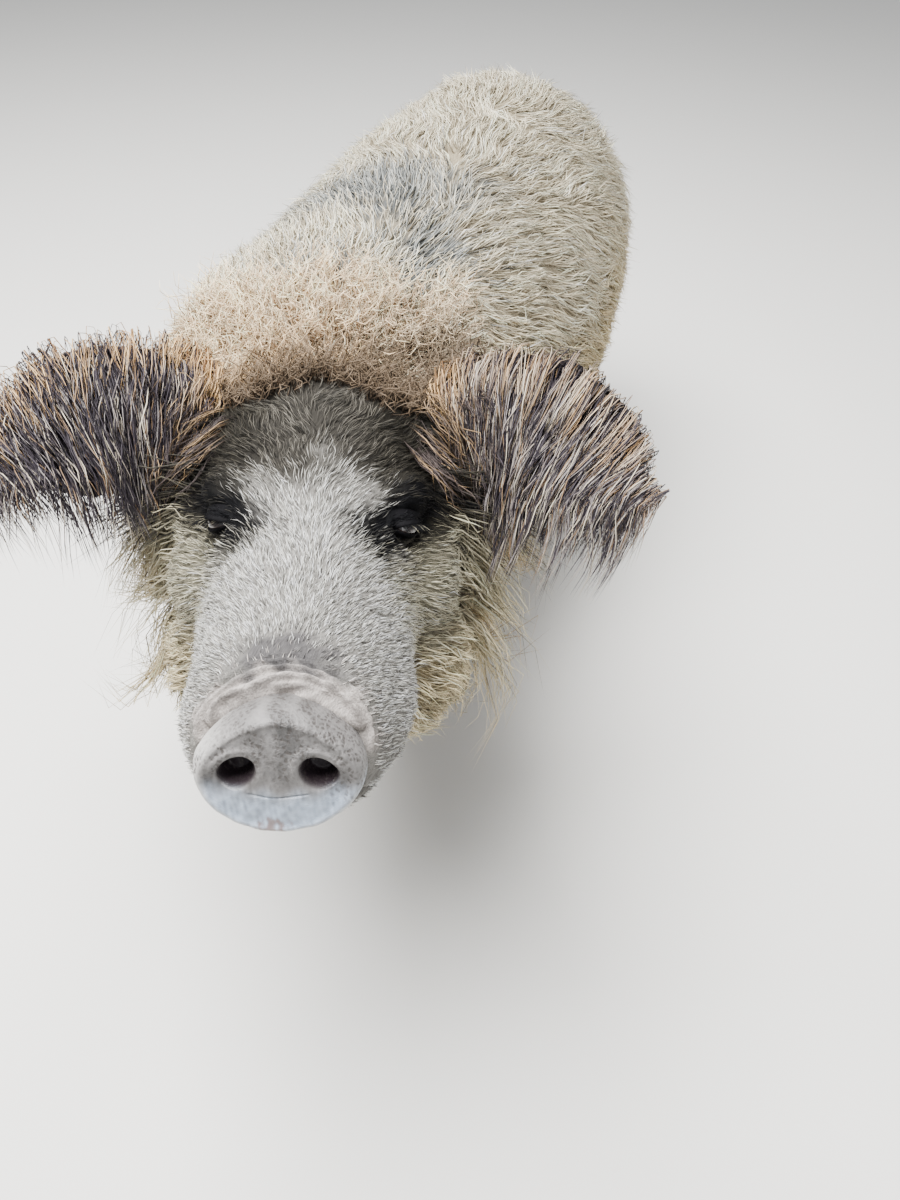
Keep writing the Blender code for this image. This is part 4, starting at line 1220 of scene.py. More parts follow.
    def remeshed(self, name: str, shape: BMesh, voxel: float, smoothing: int) -> Object:
        """Fuses overlapping closed forms to one smooth skin and sinks it by the coat's depth."""
        piece = as_piece(name, shape)
        fuse = piece.modifiers.new("fuse", "REMESH")
        fuse.mode = "VOXEL"
        fuse.voxel_size = voxel
        smooth = piece.modifiers.new("smooth", "SMOOTH")
        smooth.factor = 0.5
        smooth.iterations = smoothing
        apply_modifiers(piece)
        points = corner_array(piece.data)
        move_points(piece.data, points - corner_array(piece.data, "normal") * self.depth(points)[:, None])
        return piece

    def body_form(self) -> Object:
        """Chest, belly, rump, neck and legs."""
        shape = bmesh.new()
        loft(shape, [BODY @ upright_ring(Vector((0, y, z)), w, h) for y, z, h, w in self.torso], 64)
        chest = BODY @ upright_ring(Vector((0.0, -0.3, 0.485)), 0.185, 0.19)
        middle = BODY @ self.neck_turn() @ upright_ring(Vector(), 0.162, 0.168)
        loft(shape, [chest, middle, HEAD @ upright_ring(Vector((0.0, 0.04, -0.04)), 0.134, 0.136)], 64)
        for side in Side:
            for stations in (self.foreleg, self.hindleg):
                rows = curve(stations, np.linspace(0, 1, 30))
                rings = [
                    BODY @ Matrix.Translation((x * side.value, y, z)) @ Matrix.Diagonal((across, along, 1, 1))
                    for x, y, z, across, along in rows
                ]
                loft(shape, rings, 32)
        return self.remeshed("body_form", shape, self.body_voxel, 6)

    def neck_turn(self) -> Matrix:
        """The place and turn of the middle of the neck."""
        place = Matrix.Translation((0.012, -0.445, 0.52))
        return place @ Matrix.Rotation(POSE.turn * 0.5, 4, "Z") @ Matrix.Rotation(-POSE.raised * 0.3, 4, "X")

    def head_form(self, ears: Sequence[Ear]) -> Object:
        """Skull, muzzle, jaw, the soft masses of the face and the ears' leaves."""
        shape = bmesh.new()
        for stations, levels, sides in ((self.skull, 40, 72), (self.jaw, 20, 48)):
            rows = curve(stations, np.linspace(0, 1, levels))
            loft(shape, [HEAD @ upright_ring(Vector((0, y, z)), w, h) for y, z, h, w in rows], sides)
        for side in Side:
            for centre, half in self.soft:
                ellipsoid(shape, HEAD @ Matrix.Translation(mirrored(centre, side)), half)
        for ear in ears:
            ear.leaf(shape)
        return self.remeshed("head_form", shape, self.head_voxel, 5)

    def tail_form(self) -> Object:
        """The tail, from inside the rump down."""
        shape = bmesh.new()
        t = np.linspace(0, 1, 30)
        rows = curve(self.tail, t)
        rings = []
        for (x, y, z, radius), way in zip(rows, along_curve(self.tail, t, 0.03)):
            turn = Vector(way[:3]).to_track_quat("Z", "X").to_matrix().to_4x4()
            size = Matrix.Diagonal((radius, radius, 1, 1))
            rings.append(BODY @ Matrix.Translation((x, y, z)) @ turn @ size)
        loft(shape, rings, 20)
        return as_piece("tail_form", shape)

    def refine(self, skin: Object) -> None:
        """Makes the mesh finer where folds and the mouth are."""
        shape = bmesh.new()
        shape.from_mesh(skin.data)
        places = on_left(to_head(corner_array(skin.data)))
        _, y, z = places.T
        fine = (y < -0.285) & (z > -0.115)
        fine |= (np.abs(z - self.mouth_at(y)) < 0.009) & (y < self.mouth_back + 0.01)
        fine |= from_eye(places) < self.orbit
        edges = [edge for edge in shape.edges if fine[edge.verts[0].index] and fine[edge.verts[1].index]]
        bmesh.ops.subdivide_edges(shape, edges=edges, cuts=2, use_grid_fill=True)
        bmesh.ops.triangulate(shape, faces=[face for face in shape.faces if len(face.verts) > 4])
        shape.to_mesh(skin.data)
        shape.free()

    def mouth_at(self, y: Rows) -> Rows:
        """The mouth's height along the muzzle."""
        t = (y - self.mouth_front) / (self.mouth_back - self.mouth_front)
        return self.mouth_height + self.mouth_rise * np.sin(math.pi * (0.5 + t)) * 0.5

    def sculpt(self, skin: Object, markings: Markings) -> None:
        """Moves the skin's points to make the folds above the snout, lips, brows and eye sockets."""
        points, out = corner_array(skin.data), corner_array(skin.data, "normal")
        head = to_head(points)
        x, y, z = on_left(head).T
        back = markings.behind_disc(head)
        on_top = ease(-0.075, -0.045, z) * ease(0.026, 0.014, back) * ease(0.002, 0.006, back)
        push = -self.fold_depth * markings.creases(head) * on_top
        push += 0.0006 * Drift(0.012, 32).at(head) * on_top
        gap = z - self.mouth_at(y)
        mouth = ease(self.mouth_back + 0.006, self.mouth_back - 0.02, y) * ease(-0.345, -0.33, y)
        push += mouth * (0.0018 * np.exp(-(((np.abs(gap) - 0.005) / 0.003) ** 2)))
        push -= mouth * 0.0065 * np.exp(-((gap / 0.0016) ** 2))
        wrinkle = ease(0.05, 0.02, np.abs(y + 0.165)) * ease(0.045, 0.06, x)
        wrinkle = wrinkle * ease(0.03, 0.0, np.abs(z + 0.02))
        push += 0.001 * wrinkle * np.sin((z + 0.5 * y) / 0.0022)
        push += 0.0022 * Drift(0.055, 33).at(head) * ease(0.03, 0.0, y) * ease(-0.3, -0.26, y)
        level = on_left(head)
        for start, end, radius, height in self.eye_folds:
            t, away = from_line(level, np.array(start), np.array(end))
            away = away + 0.001 * np.sin(t * 9 + 2)
            push += height * np.exp(-((away / radius) ** 2)) * (0.35 + 0.65 * np.sin(math.pi * t))
        points = points + out * push[:, None]
        for side in Side:
            look = np.array(eye_frame(side).to_3x3() @ Vector((0, -1, 0)))
            away = points - np.array(eye_frame(side).translation)
            ahead = away @ look
            ring = np.linalg.norm(away - ahead[:, None] * look, axis=1)
            near = (ahead > -0.004) & (ring < 0.024)
            sunk = ease(0.0215, 0.0125, ring) * near
            points = points - look * (sunk * np.maximum(ahead - 0.002, 0))[:, None]
        move_points(skin.data, points)

    def join(self, skin: Object, other: Object) -> None:
        """Unites another closed form with the skin."""
        unite = skin.modifiers.new("unite", "BOOLEAN")
        unite.operation = "UNION"
        unite.solver = "MANIFOLD"
        unite.object = other
        apply_modifiers(skin)
        bpy.data.objects.remove(other)

    def soften_nape(self, skin: Object) -> None:
        """Smooths the skin where head and neck were united."""
        shape = bmesh.new()
        shape.from_mesh(skin.data)
        x, y, z = on_left(to_head(corner_array(skin.data))).T
        band = (y > 0.0) & (y < 0.18) & (x < 0.19) & (z < 0.16)
        ears = (x > 0.115) & (z > -0.02)
        chosen = [vert for vert in shape.verts if band[vert.index] and not ears[vert.index]]
        axes = {f"use_axis_{axis}": True for axis in "xyz"}
        for _ in range(6):
            bmesh.ops.smooth_vert(shape, verts=chosen, factor=0.5, **axes)
        shape.to_mesh(skin.data)
        shape.free()

    def build(self, ears: Sequence[Ear], finish: Material, markings: Markings) -> Object:
        """Makes the skin.

        Args:
            ears: Both ears, whose leaves belong to the skin.
            finish: The skin's material.
            markings: The animal's colours.

        Returns:
            The skin.
        """
        skin = self.head_form(ears)
        skin.name = "skin"
        self.join(skin, self.body_form())
        self.join(skin, self.tail_form())
        self.soften_nape(skin)
        self.refine(skin)
        self.sculpt(skin, markings)
        points = corner_array(skin.data)
        root, tip = markings.at(points)
        head = to_head(points)
        x, y, z = on_left(head).T
        on_ear = ease(0.098, 0.118, x) * ease(-0.06, 0.02, z) * ease(0.06, 0.03, y) * ease(-0.1, -0.07, y)
        colour = mix(root * 0.85, tip, 0.1)
        colour = mix(colour, Palette.ear[0], on_ear)
        paint(skin.data, colour)
        skin.data.polygons.foreach_set("use_smooth", np.ones(len(skin.data.polygons), bool))
        skin.data.update()
        nodes = ["torso", "neck", "head", "tail"] + [f"ear_{side.word}" for side in Side]
        nodes += [f"{kind}leg_{side.word}" for kind in ("fore", "hind") for side in Side]
        return dress(skin, finish, Slot.COAT, *nodes)


EYE_RADIUS = 0.0125
EYE_OUT = math.radians(48)
EYE_LEAN = math.radians(8)


def eye_frame(side: Side) -> Matrix:
    """The frame of one eye, whose -Y is the way it looks."""
    return HEAD @ Matrix.Translation(mirrored(POSE.eye, side)) @ Matrix.Rotation(EYE_OUT * side.value, 4, "Z")


@dataclass
class Eye:
    """One eye: a dark wet ball, and thick folded lids round a narrow slit.

    The rings of the lids run from behind their edge outwards. Each has its spread from the slit, its height
    over the ball above and below the slit, and the share of the skin's own height that it takes.
    """

    side: Side
    slit_half: float = 0.0122
    slit_up: float = 0.0034
    slit_down: float = 0.0034
    lid_hairs: int = 900
    lash_count: int = 70
    segments: int = 56
    rings: tuple = (
        (0.003, -0.0006, -0.0006, 0.0), (0.0004, 0.0002, 0.0002, 0.0), (-0.0002, 0.001, 0.0009, 0.0),
        (0.0003, 0.0022, 0.0015, 0.0), (0.0014, 0.003, 0.0018, 0.0), (0.003, 0.0028, 0.0014, 0.0),
        (0.0044, 0.0012, 0.0004, 0.0), (0.0054, 0.0006, 0.0002, 0.1), (0.007, 0.0032, 0.0014, 0.35),
        (0.0088, 0.0036, 0.0018, 0.7), (0.0104, 0.0012, 0.0008, 1.0), (0.0118, -0.0008, -0.0008, 1.0),
        (0.0126, -0.004, -0.004, 1.0), (0.008, -0.009, -0.009, 1.0),
    )

    def leaning(self) -> Matrix:
        """The eye's frame, turned so that the slit lies level."""
        return eye_frame(self.side) @ Matrix.Rotation(EYE_LEAN * self.side.value, 4, "Y")

    def ball(self, finish: Material) -> None:
        """The eyeball."""
        shape = bmesh.new()
        place = eye_frame(self.side)
        bmesh.ops.create_uvsphere(shape, u_segments=48, v_segments=32, radius=EYE_RADIUS, matrix=place)
        name = self.side.word
        dress(as_piece(f"eyeball_{name}", shape), finish, Slot.EYE, f"eye_{name}")

    def lids(self, hide: Hide, finish: Material, markings: Markings) -> None:
        """Both lids, as one closed ring that runs from the slit out under the skin."""
        own = self.leaning()
        look = own.to_3x3() @ Vector((0, -1, 0))
        turn = np.linspace(0, 2 * math.pi, self.segments, endpoint=False)
        shape = bmesh.new()
        loops = []
        for spread, above, below, on_skin in self.rings:
            circle = bmesh.ops.create_circle(shape, cap_ends=False, segments=self.segments, radius=1.0)
            for vert, angle in zip(circle["verts"], turn):
                up = math.sin(angle)
                tall = (self.slit_up if up > 0 else self.slit_down) * abs(up) ** 0.35
                across = math.cos(angle) * (self.slit_half + spread)
                height = up * (tall + spread)
                rise = above * max(up, 0) ** 0.5 + below * (1 - max(up, 0) ** 0.5)
                level = math.sqrt(max((EYE_RADIUS + rise) ** 2 - across**2 - height**2, 0.000016))
                if on_skin:
                    start = own @ Vector((across, -0.05, height))
                    hit = hide.tree.ray_cast(start, -look)[0]
                    skin_level = 0.05 - (hit - start).length if hit else level
                    level += (skin_level + rise - level) * on_skin
                vert.co = own @ Vector((across, -level, height))
            loops.append(edges_of(circle["verts"]))
        for here, there in zip(loops, loops[1:] + loops[:1]):
            bmesh.ops.bridge_loops(shape, edges=here + there)
        piece = as_piece(f"lids_{self.side.word}", shape)
        smooth = piece.modifiers.new("smooth", "SUBSURF")
        smooth.levels = smooth.render_levels = 1
        apply_modifiers(piece)
        paint(piece.data, self.tone(corner_array(piece.data), markings))
        dress(piece, finish, Slot.FACE)

    def on_eye(self, points: Rows) -> Rows:
        """Points in the leaning frame of the eye."""
        own = self.leaning()
        return (points - np.array(own.translation)) @ np.array(own.to_3x3())

    def clear_of_slit(self, points: Rows) -> Rows:
        """Where short hair grows on the lids: outside their bare edges."""
        x, y, z = self.on_eye(points).T
        return (np.hypot(x / (self.slit_half + 0.003), z / 0.0075) > 1) * (y < -0.004) * 1.0

    def tone(self, points: Rows, markings: Markings) -> Rows:
        """The lids' colours: slate skin, darker at the slit and in the fold."""
        root, tip = markings.at(points)
        away = np.linalg.norm(points - np.array(eye_frame(self.side).translation), axis=1)
        rim = ease(0.0175, 0.015, away) * ease(0.0128, 0.0138, away)
        return mix(mix(root, tip, 0.03), Palette.lid, 0.6 * rim)

    def lashes(self) -> Strands:
        """Straw lashes of the upper lid, and finer dark ones."""
        rng = np.random.default_rng(70 + self.side.value)
        count = self.lash_count
        own = self.leaning()
        turn = np.array(own.to_3x3())
        angle = rng.uniform(0.15, 0.85, count) * math.pi
        across = np.cos(angle) * self.slit_half
        height = np.sin(angle) * (self.slit_up + 0.0012)
        level = np.sqrt((EYE_RADIUS + 0.0026) ** 2 - across**2 - height**2)
        root = columns(across, -level, height)
        way = columns(across * 30, -1.0, -0.15)
        way = unit(way + rng.normal(0, 0.12, (count, 3)))
        length = rng.uniform(0.008, 0.015, count)[:, None]
        droop = np.array([0, 0, -0.25])
        lines = [root + way * length * t + droop * length * t * t for t in (0.0, 0.35, 0.7, 1.0)]
        lines = np.stack([np.array(own.translation) + line @ turn.T for line in lines], 1)
        pale = (rng.random(count) < 0.15) * 0.35
        dark = np.tile(Palette.orbit[0], (count, 1))
        return Strands(
            lines=lines,
            out=np.tile(turn[:, 2], (count, 4, 1)),
            width=np.full(count, 0.00042),
            root=dark,
            tip=mix(dark, Palette.cheek[1], pale),
            unwrap=columns(angle / math.pi, 0.5),
            taper=(1.0, 0.9, 0.6),
        )

    def build(self, hide: Hide, finish: dict[Slot, Material], markings: Markings) -> None:
        """Makes ball, lids and lashes.

        Args:
            hide: The skin that the lids lie on.
            finish: The materials of skin (coat), eye and hair (face).
            markings: The animal's colours.
        """
        hair = finish[Slot.FACE]
        self.ball(finish[Slot.EYE])
        self.lids(hide, finish[Slot.COAT], markings)
        name = self.side.word
        dress(self.lashes().piece(f"lashes_{name}"), hair, Slot.FACE)
        away = turn_from_head(np.array([0.8 * self.side.value, 0.7, -0.1]))
        growth = Growth(
            name=f"lid_hair_{name}", slot=Slot.FACE, count=self.lid_hairs, seed=80, where=self.clear_of_slit,
            lie=lambda points, out: np.tile(away, (len(points), 1)), length=even(0.006),
            unwrap=lambda points: (self.on_eye(points)[:, [0, 2]] / 0.06) + 0.5, width=0.0005, rise=0.25,
            family=3, taper=(0.9, 0.8), blend=0.001,
        )
        lids = Hide(bpy.data.objects[f"lids_{name}"])
        dress(growth.strands(lids, markings.at).piece(growth.name), hair, Slot.FACE)


@dataclass
class SnoutDisc:
    """The bare disc of the snout: a rolled rim, two slanted nostrils, and a thin line that joins them."""

    at: Vector = Vector((0.0, -0.339, -0.069))
    half_width: float = 0.0515
    half_height: float = 0.041
    lean: float = math.radians(1)
    nostril_at: tuple[float, float] = (0.024, 0.0035)
    nostril_half: tuple[float, float] = (0.0122, 0.01)
    nostril_lean: float = math.radians(36)
    nostril_deep: float = 0.018
    segments: int = 200
    rings: int = 110
    face_share: float = 0.7
    profile: tuple = (
        (0.0, -0.0165, 0.0), (0.68, -0.0165, 0.84), (0.73, -0.0152, 0.905), (0.78, -0.0122, 0.955),
        (0.83, -0.0075, 0.986), (0.88, -0.0015, 1.0), (0.92, 0.0065, 0.98), (0.95, 0.015, 0.94),
        (0.98, 0.024, 0.87), (1.0, 0.024, 0.0),
    )

    def frame(self) -> Matrix:
        """The disc's frame, whose -Y is the way it faces."""
        return HEAD @ Matrix.Translation(self.at) @ Matrix.Rotation(self.lean, 4, "X")

    def narrowed(self, x: Rows, z: Rows) -> Rows:
        """The width drawn in towards the top, where the folds meet the rim."""
        return x * (1 - 0.17 * ease(0.004, 0.04, z))

    def edge_share(self, x: Rows, z: Rows) -> Rows:
        """Distance from the disc's middle, where 1 is its edge."""
        return np.hypot(x / self.half_width, z / self.half_height)

    def hollow_share(self, x: Rows, z: Rows) -> Rows:
        """How far a place belongs to the hollow outside each nostril."""
        return ease(1.2, 0.2, np.hypot((np.abs(x) - 0.037) / 0.01, (z + 0.004) / 0.012))

    def nostril_share(self, x: Rows, z: Rows) -> Rows:
        """Distance from a nostril's middle, where 1 is its edge."""
        dx, dz = np.abs(x) - self.nostril_at[0], z - self.nostril_at[1]
        c, s = math.cos(self.nostril_lean), math.sin(self.nostril_lean)
        across, up = dx * c - dz * s, dx * s + dz * c
        return np.hypot(across / self.nostril_half[0], up / self.nostril_half[1])

    def relief(self, x: Rows, z: Rows) -> Rows:
        """How far the face stands forward of its flat."""
        edge = self.edge_share(x, z)
        away = self.nostril_share(x, z)
        height = 0.003 * (1 - np.minimum(edge, 1) ** 2) + 0.0016 * np.exp(-(((edge - 0.88) / 0.07) ** 2))
        height = height + 0.0014 * np.exp(-(((away - 1.35) / 0.22) ** 2)) * ease(-0.006, 0.006, z)
        height = height - self.nostril_deep * ease(1.06, 0.55, away)
        height = height - 0.003 * self.hollow_share(x, z)
        line = -0.0128 + 0.003 * (x / 0.018) ** 2
        height = height - 0.001 * np.exp(-(((z - line) / 0.0007) ** 2)) * ease(0.02, 0.016, np.abs(x))
        rows = np.sin(x / 0.0011 + 2.0 * np.sin(z / 0.004))
        height = height + 0.0003 * rows * ease(0.016, 0.028, z) * ease(0.98, 0.9, edge)
        return height + 0.0005 * Drift(0.016, 51).at(columns(x, z, 0 * x)) * ease(1.0, 1.2, away)

    def build(self, finish: Material) -> None:
        """Makes the disc."""
        place = self.frame()
        shape = bmesh.new()
        bmesh.ops.create_uvsphere(shape, u_segments=self.segments, v_segments=self.rings, radius=1.0)
        piece = as_piece("snout", shape)
        points = corner_array(piece.data)
        polar = np.arccos(np.clip(points[:, 2], -1, 1)) / math.pi
        round_way = np.arctan2(points[:, 1], points[:, 0])
        shares, fronts, sizes = np.array(self.profile).T
        size = np.interp(polar, shares, sizes)
        x = self.half_width * size * np.cos(round_way)
        z = self.half_height * size * np.sin(round_way)
        y = np.interp(polar, shares, fronts) - self.relief(x, z) * ease(0.93, 0.86, polar)
        on_face = ease(self.face_share + 0.06, self.face_share, polar)
        local = columns(self.narrowed(x, z), y, z)
        move_points(piece.data, local @ np.array(place.to_3x3()).T + np.array(place.translation))
        self.mark(piece.data, columns(x, y, z), on_face)
        dress(piece, finish, Slot.SNOUT, "snout_disc")

    def mark(self, mesh: Mesh, local: Rows, on_face: Rows) -> None:
        """Writes the disc's colours with painted sheen and shade, and how freckled and how wet it is."""
        x, _, z = local.T
        edge = self.edge_share(x, z)
        away = self.nostril_share(x, z)
        spots = Drift(0.018, 52).at(local)
        # Lower half: the wet leather's colour with a painted bluish sheen.
        low = ease(-0.004, -0.02, z - 3.0 * x**2 + 0.002 * spots)
        colour = mix(Palette.disc, Palette.disc_wet, low)
        pale = ease(0.8, 0.97, edge) * ease(0.022, -0.01, z + 0.45 * x)
        colour = mix(colour, Palette.disc_rim, pale)
        grains = Drift(0.0036, 53, 16).at(local * [1.0, 1.0, 0.6])
        mottle = ease(-1.6, 1.0, spots + 0.7 * grains) * ease(-0.01, 0.002, z) * ease(0.046, 0.037, z)
        middle = 0.25 + 0.75 * ease(0.034, 0.006, np.abs(x - 0.006))
        colour = colour * (1 - 0.62 * mottle * middle)[:, None] * (1 + 0.16 * grains)[:, None]
        stain = np.hypot((x + 0.004) / 0.01, (z + 0.033) / 0.006) + 0.35 * grains
        colour = mix(colour, Palette.stain, ease(1.2, 0.3, stain) * 0.7)
        # Painted shade: the hollow outside each nostril is darkened where shade falls in it.
        colour = colour * (1 - 0.35 * self.hollow_share(x, z))[:, None]
        # The nostrils' dark lining, with painted shade of the deep pits.
        colour = mix(colour, Palette.nostril, ease(1.16, 0.86, away) * on_face)
        paint(mesh, colour)
        freckled = ease(-0.01, 0.004, z) * np.clip(0.8 + 0.5 * spots + 6 * x, 0, 1)
        freckled = np.maximum(freckled, 0.8 * ease(0.02, 0.036, x) * ease(-0.024, -0.004, z))
        for name, values in (("freckled", freckled), ("wet", low * on_face)):
            layer = mesh.attributes.new(name, "FLOAT", "POINT")
            layer.data.foreach_set("value", values.astype(np.float32))


@dataclass
class Hooves:
    """Eight claws and eight dewclaws of ringed horn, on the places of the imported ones."""

    sides: int = 36
    levels: int = 16
    ridge: float = 0.00025

    def claw(self, node: str, finish: Material) -> None:
        """One claw: narrower to the toe, sloping back to its top."""
        low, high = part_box(node)
        shape = bmesh.new()
        middle, half = (low + high) / 2, (high - low) / 2
        rings = []
        for i in range(self.levels + 1):
            t = i / self.levels
            z = high.z * t
            size = 1 - 0.15 * t**1.6 - 0.05 * (1 - min(t * 8, 1))
            front = low.y + 0.026 * t**1.3
            back = high.y - 0.008 * t**2
            grown = size * (1 + self.ridge / half.x * math.sin(t * 34))
            centre = Vector((middle.x, (front + back) / 2, z))
            flat = Matrix.Diagonal((half.x * grown, (back - front) / 2, 1, 1))
            rings.append(Matrix.Translation(centre) @ flat)
        loft(shape, rings, self.sides)
        for vert in shape.verts:
            ahead = (middle.y - vert.co.y) / half.y
            if ahead > 0:
                vert.co.x = middle.x + (vert.co.x - middle.x) * (1 - 0.3 * ahead**2)
        dress(as_piece(node.replace("hoof", "claw"), shape), finish, Slot.HORN, node)

    def dewclaw(self, node: str, finish: Material) -> None:
        """One dewclaw: a small pointed cone of horn behind the pastern."""
        low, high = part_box(node)
        middle = (low + high) / 2
        shape = bmesh.new()
        rings = []
        lean = Matrix.Rotation(math.radians(-28), 4, "X")
        for i in range(13):
            t = i / 12
            size = math.sin(math.pi * (0.06 + 0.88 * t)) ** 0.6
            z = 0.014 * (1 - 2 * t)
            flat = Matrix.Diagonal((0.0085 * size, 0.0095 * size * (1 - 0.2 * t), 1, 1))
            rings.append(Matrix.Translation(middle) @ lean @ Matrix.Translation((0, 0, z)) @ flat)
        loft(shape, rings, 24)
        dress(as_piece(node.replace("dewclaw", "spur"), shape), finish, Slot.HORN, node)

    def build(self, finish: Material) -> None:
        """Makes all of them."""
        for node in sorted(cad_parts):
            if node.startswith("hoof_"):
                self.claw(node, finish)
            elif node.startswith("dewclaw_"):
                self.dewclaw(node, finish)


class Coat:
    """The whole coat, part by part, each with its own lie, length and curl."""

    def __init__(self, hide: Hide, markings: Markings, finish: dict[Slot, Material]) -> None:
        """Keeps the skin that the hair grows on, its markings and the hair's materials."""
        self.hide = hide
        self.markings = markings
        self.finish = finish

    def on_ear(self, head: Rows) -> Rows:
        """Whether a place of the head's frame is on an ear's leaf."""
        x, y, z = on_left(head).T
        return (x > 0.118) & (z > 0.118 - 0.62 * x + 0.45 * (y + 0.02)) & (y < 0.045)

    def head_share(self, points: Rows) -> Rows:
        """How far a place belongs to the head, and not to the neck."""
        head = to_head(points)
        return ease(0.1, 0.06, past_ears(head)) * ~self.on_ear(head)

    def crest_share(self, points: Rows) -> Rows:
        """How densely the crest grows: a band over the poll from ear to ear."""
        head = to_head(points)
        x, y, z = on_left(head).T
        y = y + 0.12 * x - 0.55 * np.maximum(x - 0.055, 0) + 0.008 * Drift(0.05, 8).at(head)
        band = ease(-0.024, -0.002, y) * ease(0.18, 0.105, y)
        return band * ease(0.045, 0.08, z) * ease(0.15, 0.12, x)

    def face_density(self, side: int) -> Field:
        """Where the short hair of the face grows on one side of the nose, sparser on bare patches."""

        def density(points: Rows) -> Rows:
            """How densely it grows at each place."""
            head = to_head(points)
            x, y, z = head.T
            bare = 1 - 0.8 * self.markings.patch_share(head)
            bare = bare * (1 - 0.45 * self.markings.orbit_share(head))
            bare = bare * ease(0.0095, 0.021, self.markings.behind_disc(head))
            away = from_eye(on_left(head))
            near = 1 + 1.6 * ease(-0.1, -0.2, y) * ease(-0.09, -0.05, z)
            keep = self.head_share(points) * bare * (1 - ease(-0.1, -0.13, z) * ease(-0.12, -0.06, y))
            return keep * near * (away > 0.016) * (x * side >= 0) * ease(0.05, 0.02, self.crest_share(points))

        return density

    def face_lie(self, points: Rows, out: Rows) -> Rows:
        """Back from the snout, fanning outwards, and down over cheeks and jowls."""
        head = to_head(points)
        x, y, z = head.T
        fan = np.clip(11.0 * x, -1.0, 1.0) * (ease(0.02, -0.04, y) + 0.7 * ease(-0.22, -0.29, y))
        down = -0.5 * ease(0.03, 0.1, np.abs(x)) - 0.35 * ease(-0.05, -0.12, z)
        way = columns(fan, 1.0, down)
        way = way + (0.18 + 0.5 * ease(-0.12, -0.03, y)[:, None]) * Drift(0.045, 61).at(points, 3)
        return turn_from_head(way)

    def face_length(self, points: Rows) -> Rows:
        """Very short at the snout, longer over forehead and cheeks."""
        x, y, z = on_left(to_head(points)).T
        length = 0.01 + 0.005 * ease(-0.29, -0.17, y) + 0.01 * ease(-0.12, -0.03, y)
        return length + 0.006 * ease(0.075, 0.11, x) + 0.006 * ease(-0.07, -0.12, z) * ease(-0.2, -0.12, y)

    def sideways(self, way: tuple[float, float, float], stray: float, drift: Drift) -> Lie:
        """Hair of the head that lies one way on her left, mirrored on her right, and strays from it."""

        def lie(points: Rows, out: Rows) -> Rows:
            """The hair's direction at each place."""
            ways = columns(way[0] * np.sign(to_head(points)[:, 0]), *way[1:])
            return turn_from_head(ways + stray * drift.at(points, 3))

        return lie

    def jowl_density(self, points: Rows) -> Rows:
        """Where the long golden hair of jowls, throat and ruff grows."""
        x, y, z = on_left(to_head(points)).T
        low = ease(-0.065, -0.1, z) * ease(-0.19, -0.13, y)
        ruff = ease(-0.08, -0.02, y) * ease(0.07, 0.1, x) * ease(0.06, 0.02, z)
        return np.maximum(low, ruff) * self.head_share(points)

    def forelock_density(self, points: Rows) -> Rows:
        """Where long dark hair hangs from the ears' roots over the temples."""
        x, y, z = on_left(to_head(points)).T
        beside = ease(0.066, 0.084, x) * ease(0.15, 0.125, x)
        return beside * ease(-0.06, -0.04, y) * ease(0.04, 0.02, y) * ease(0.045, 0.06, z)

    def ruff_density(self, points: Rows) -> Rows:
        """Where the longest golden hair grows, on the sides of the neck behind cheeks and ears."""
        head = to_head(points)
        x, y, z = on_left(head).T
        band = ease(-0.06, -0.03, y) * ease(0.12, 0.08, y) * ease(0.075, 0.095, x)
        return band * ease(-0.125, -0.08, z) * ease(0.065, 0.04, z) * ~self.on_ear(head)

    def body_density(self, low: float, high: float) -> Field:
        """Where the long coat grows between two distances along Y, thinner under the belly."""

        def density(points: Rows) -> Rows:
            """How densely it grows at each place."""
            _, y, z = points.T
            head = to_head(points)
            behind = ease(0.03, 0.09, past_ears(head)) * ~self.on_ear(head)
            upper = 0.45 + 0.55 * ease(0.28, 0.42, z)
            clear_of_tail = (self.tail_density(points) == 0) | (y < BODY_PLACE[1] + 0.548)
            return behind * upper * (y >= low) * (y < high) * ease(0.2, 0.27, z) * clear_of_tail

        return density

    def body_lie(self, points: Rows, out: Rows) -> Rows:
        """Back along the body, and down on flanks and rump, with swirls."""
        x = points[:, 0]
        aside = 0.45 * np.sign(x) * np.maximum(out[:, 2], 0) * ease(0.0, 0.05, np.abs(x))
        down = -0.25 - 0.85 * np.abs(out[:, 0])
        way = columns(aside, 1.0, down)
        swirl = 0.3 + 0.35 * ease(-0.05, 0.2, points[:, 1])[:, None]
        return way + swirl * Drift(0.1, 63).at(points, 3)

    def body_length(self, points: Rows) -> Rows:
        """Longest over the shoulders and flanks, shorter on the rump and at the legs."""
        y, z = points[:, 1], points[:, 2]
        length = 0.048 + 0.008 * Drift(0.2, 64).at(points) - 0.012 * ease(0.45, 0.65, y)
        return length * (0.55 + 0.45 * ease(0.22, 0.36, z))

    def leg_lie(self, points: Rows, out: Rows) -> Rows:
        """Straight down and a little back."""
        return np.array([0.0, 0.25, -1.0]) + 0.25 * Drift(0.04, 65).at(points, 3)

    def leg_length(self, points: Rows) -> Rows:
        """Short, shortest above the hooves."""
        return 0.011 + 0.012 * ease(0.08, 0.26, points[:, 2])

    def head_unwrap(self, points: Rows) -> Rows:
        """The head's skin unrolled round the muzzle's axis."""
        head = to_head(points)
        return columns(round_share(head[:, 0], head[:, 2] + 0.06), (head[:, 1] + 0.34) / 0.52)

    def crest_unwrap(self, points: Rows) -> Rows:
        """The poll's skin, which is nearly flat, seen from above the head."""
        head = to_head(points)
        return columns((head[:, 0] + 0.2) / 0.4, (head[:, 1] + 0.08) / 0.26)

    def body_unwrap(self, points: Rows) -> Rows:
        """The body's skin unrolled round its long axis."""
        return columns(round_share(points[:, 0], points[:, 2] - 0.48), (points[:, 1] + 0.5) / 1.24)

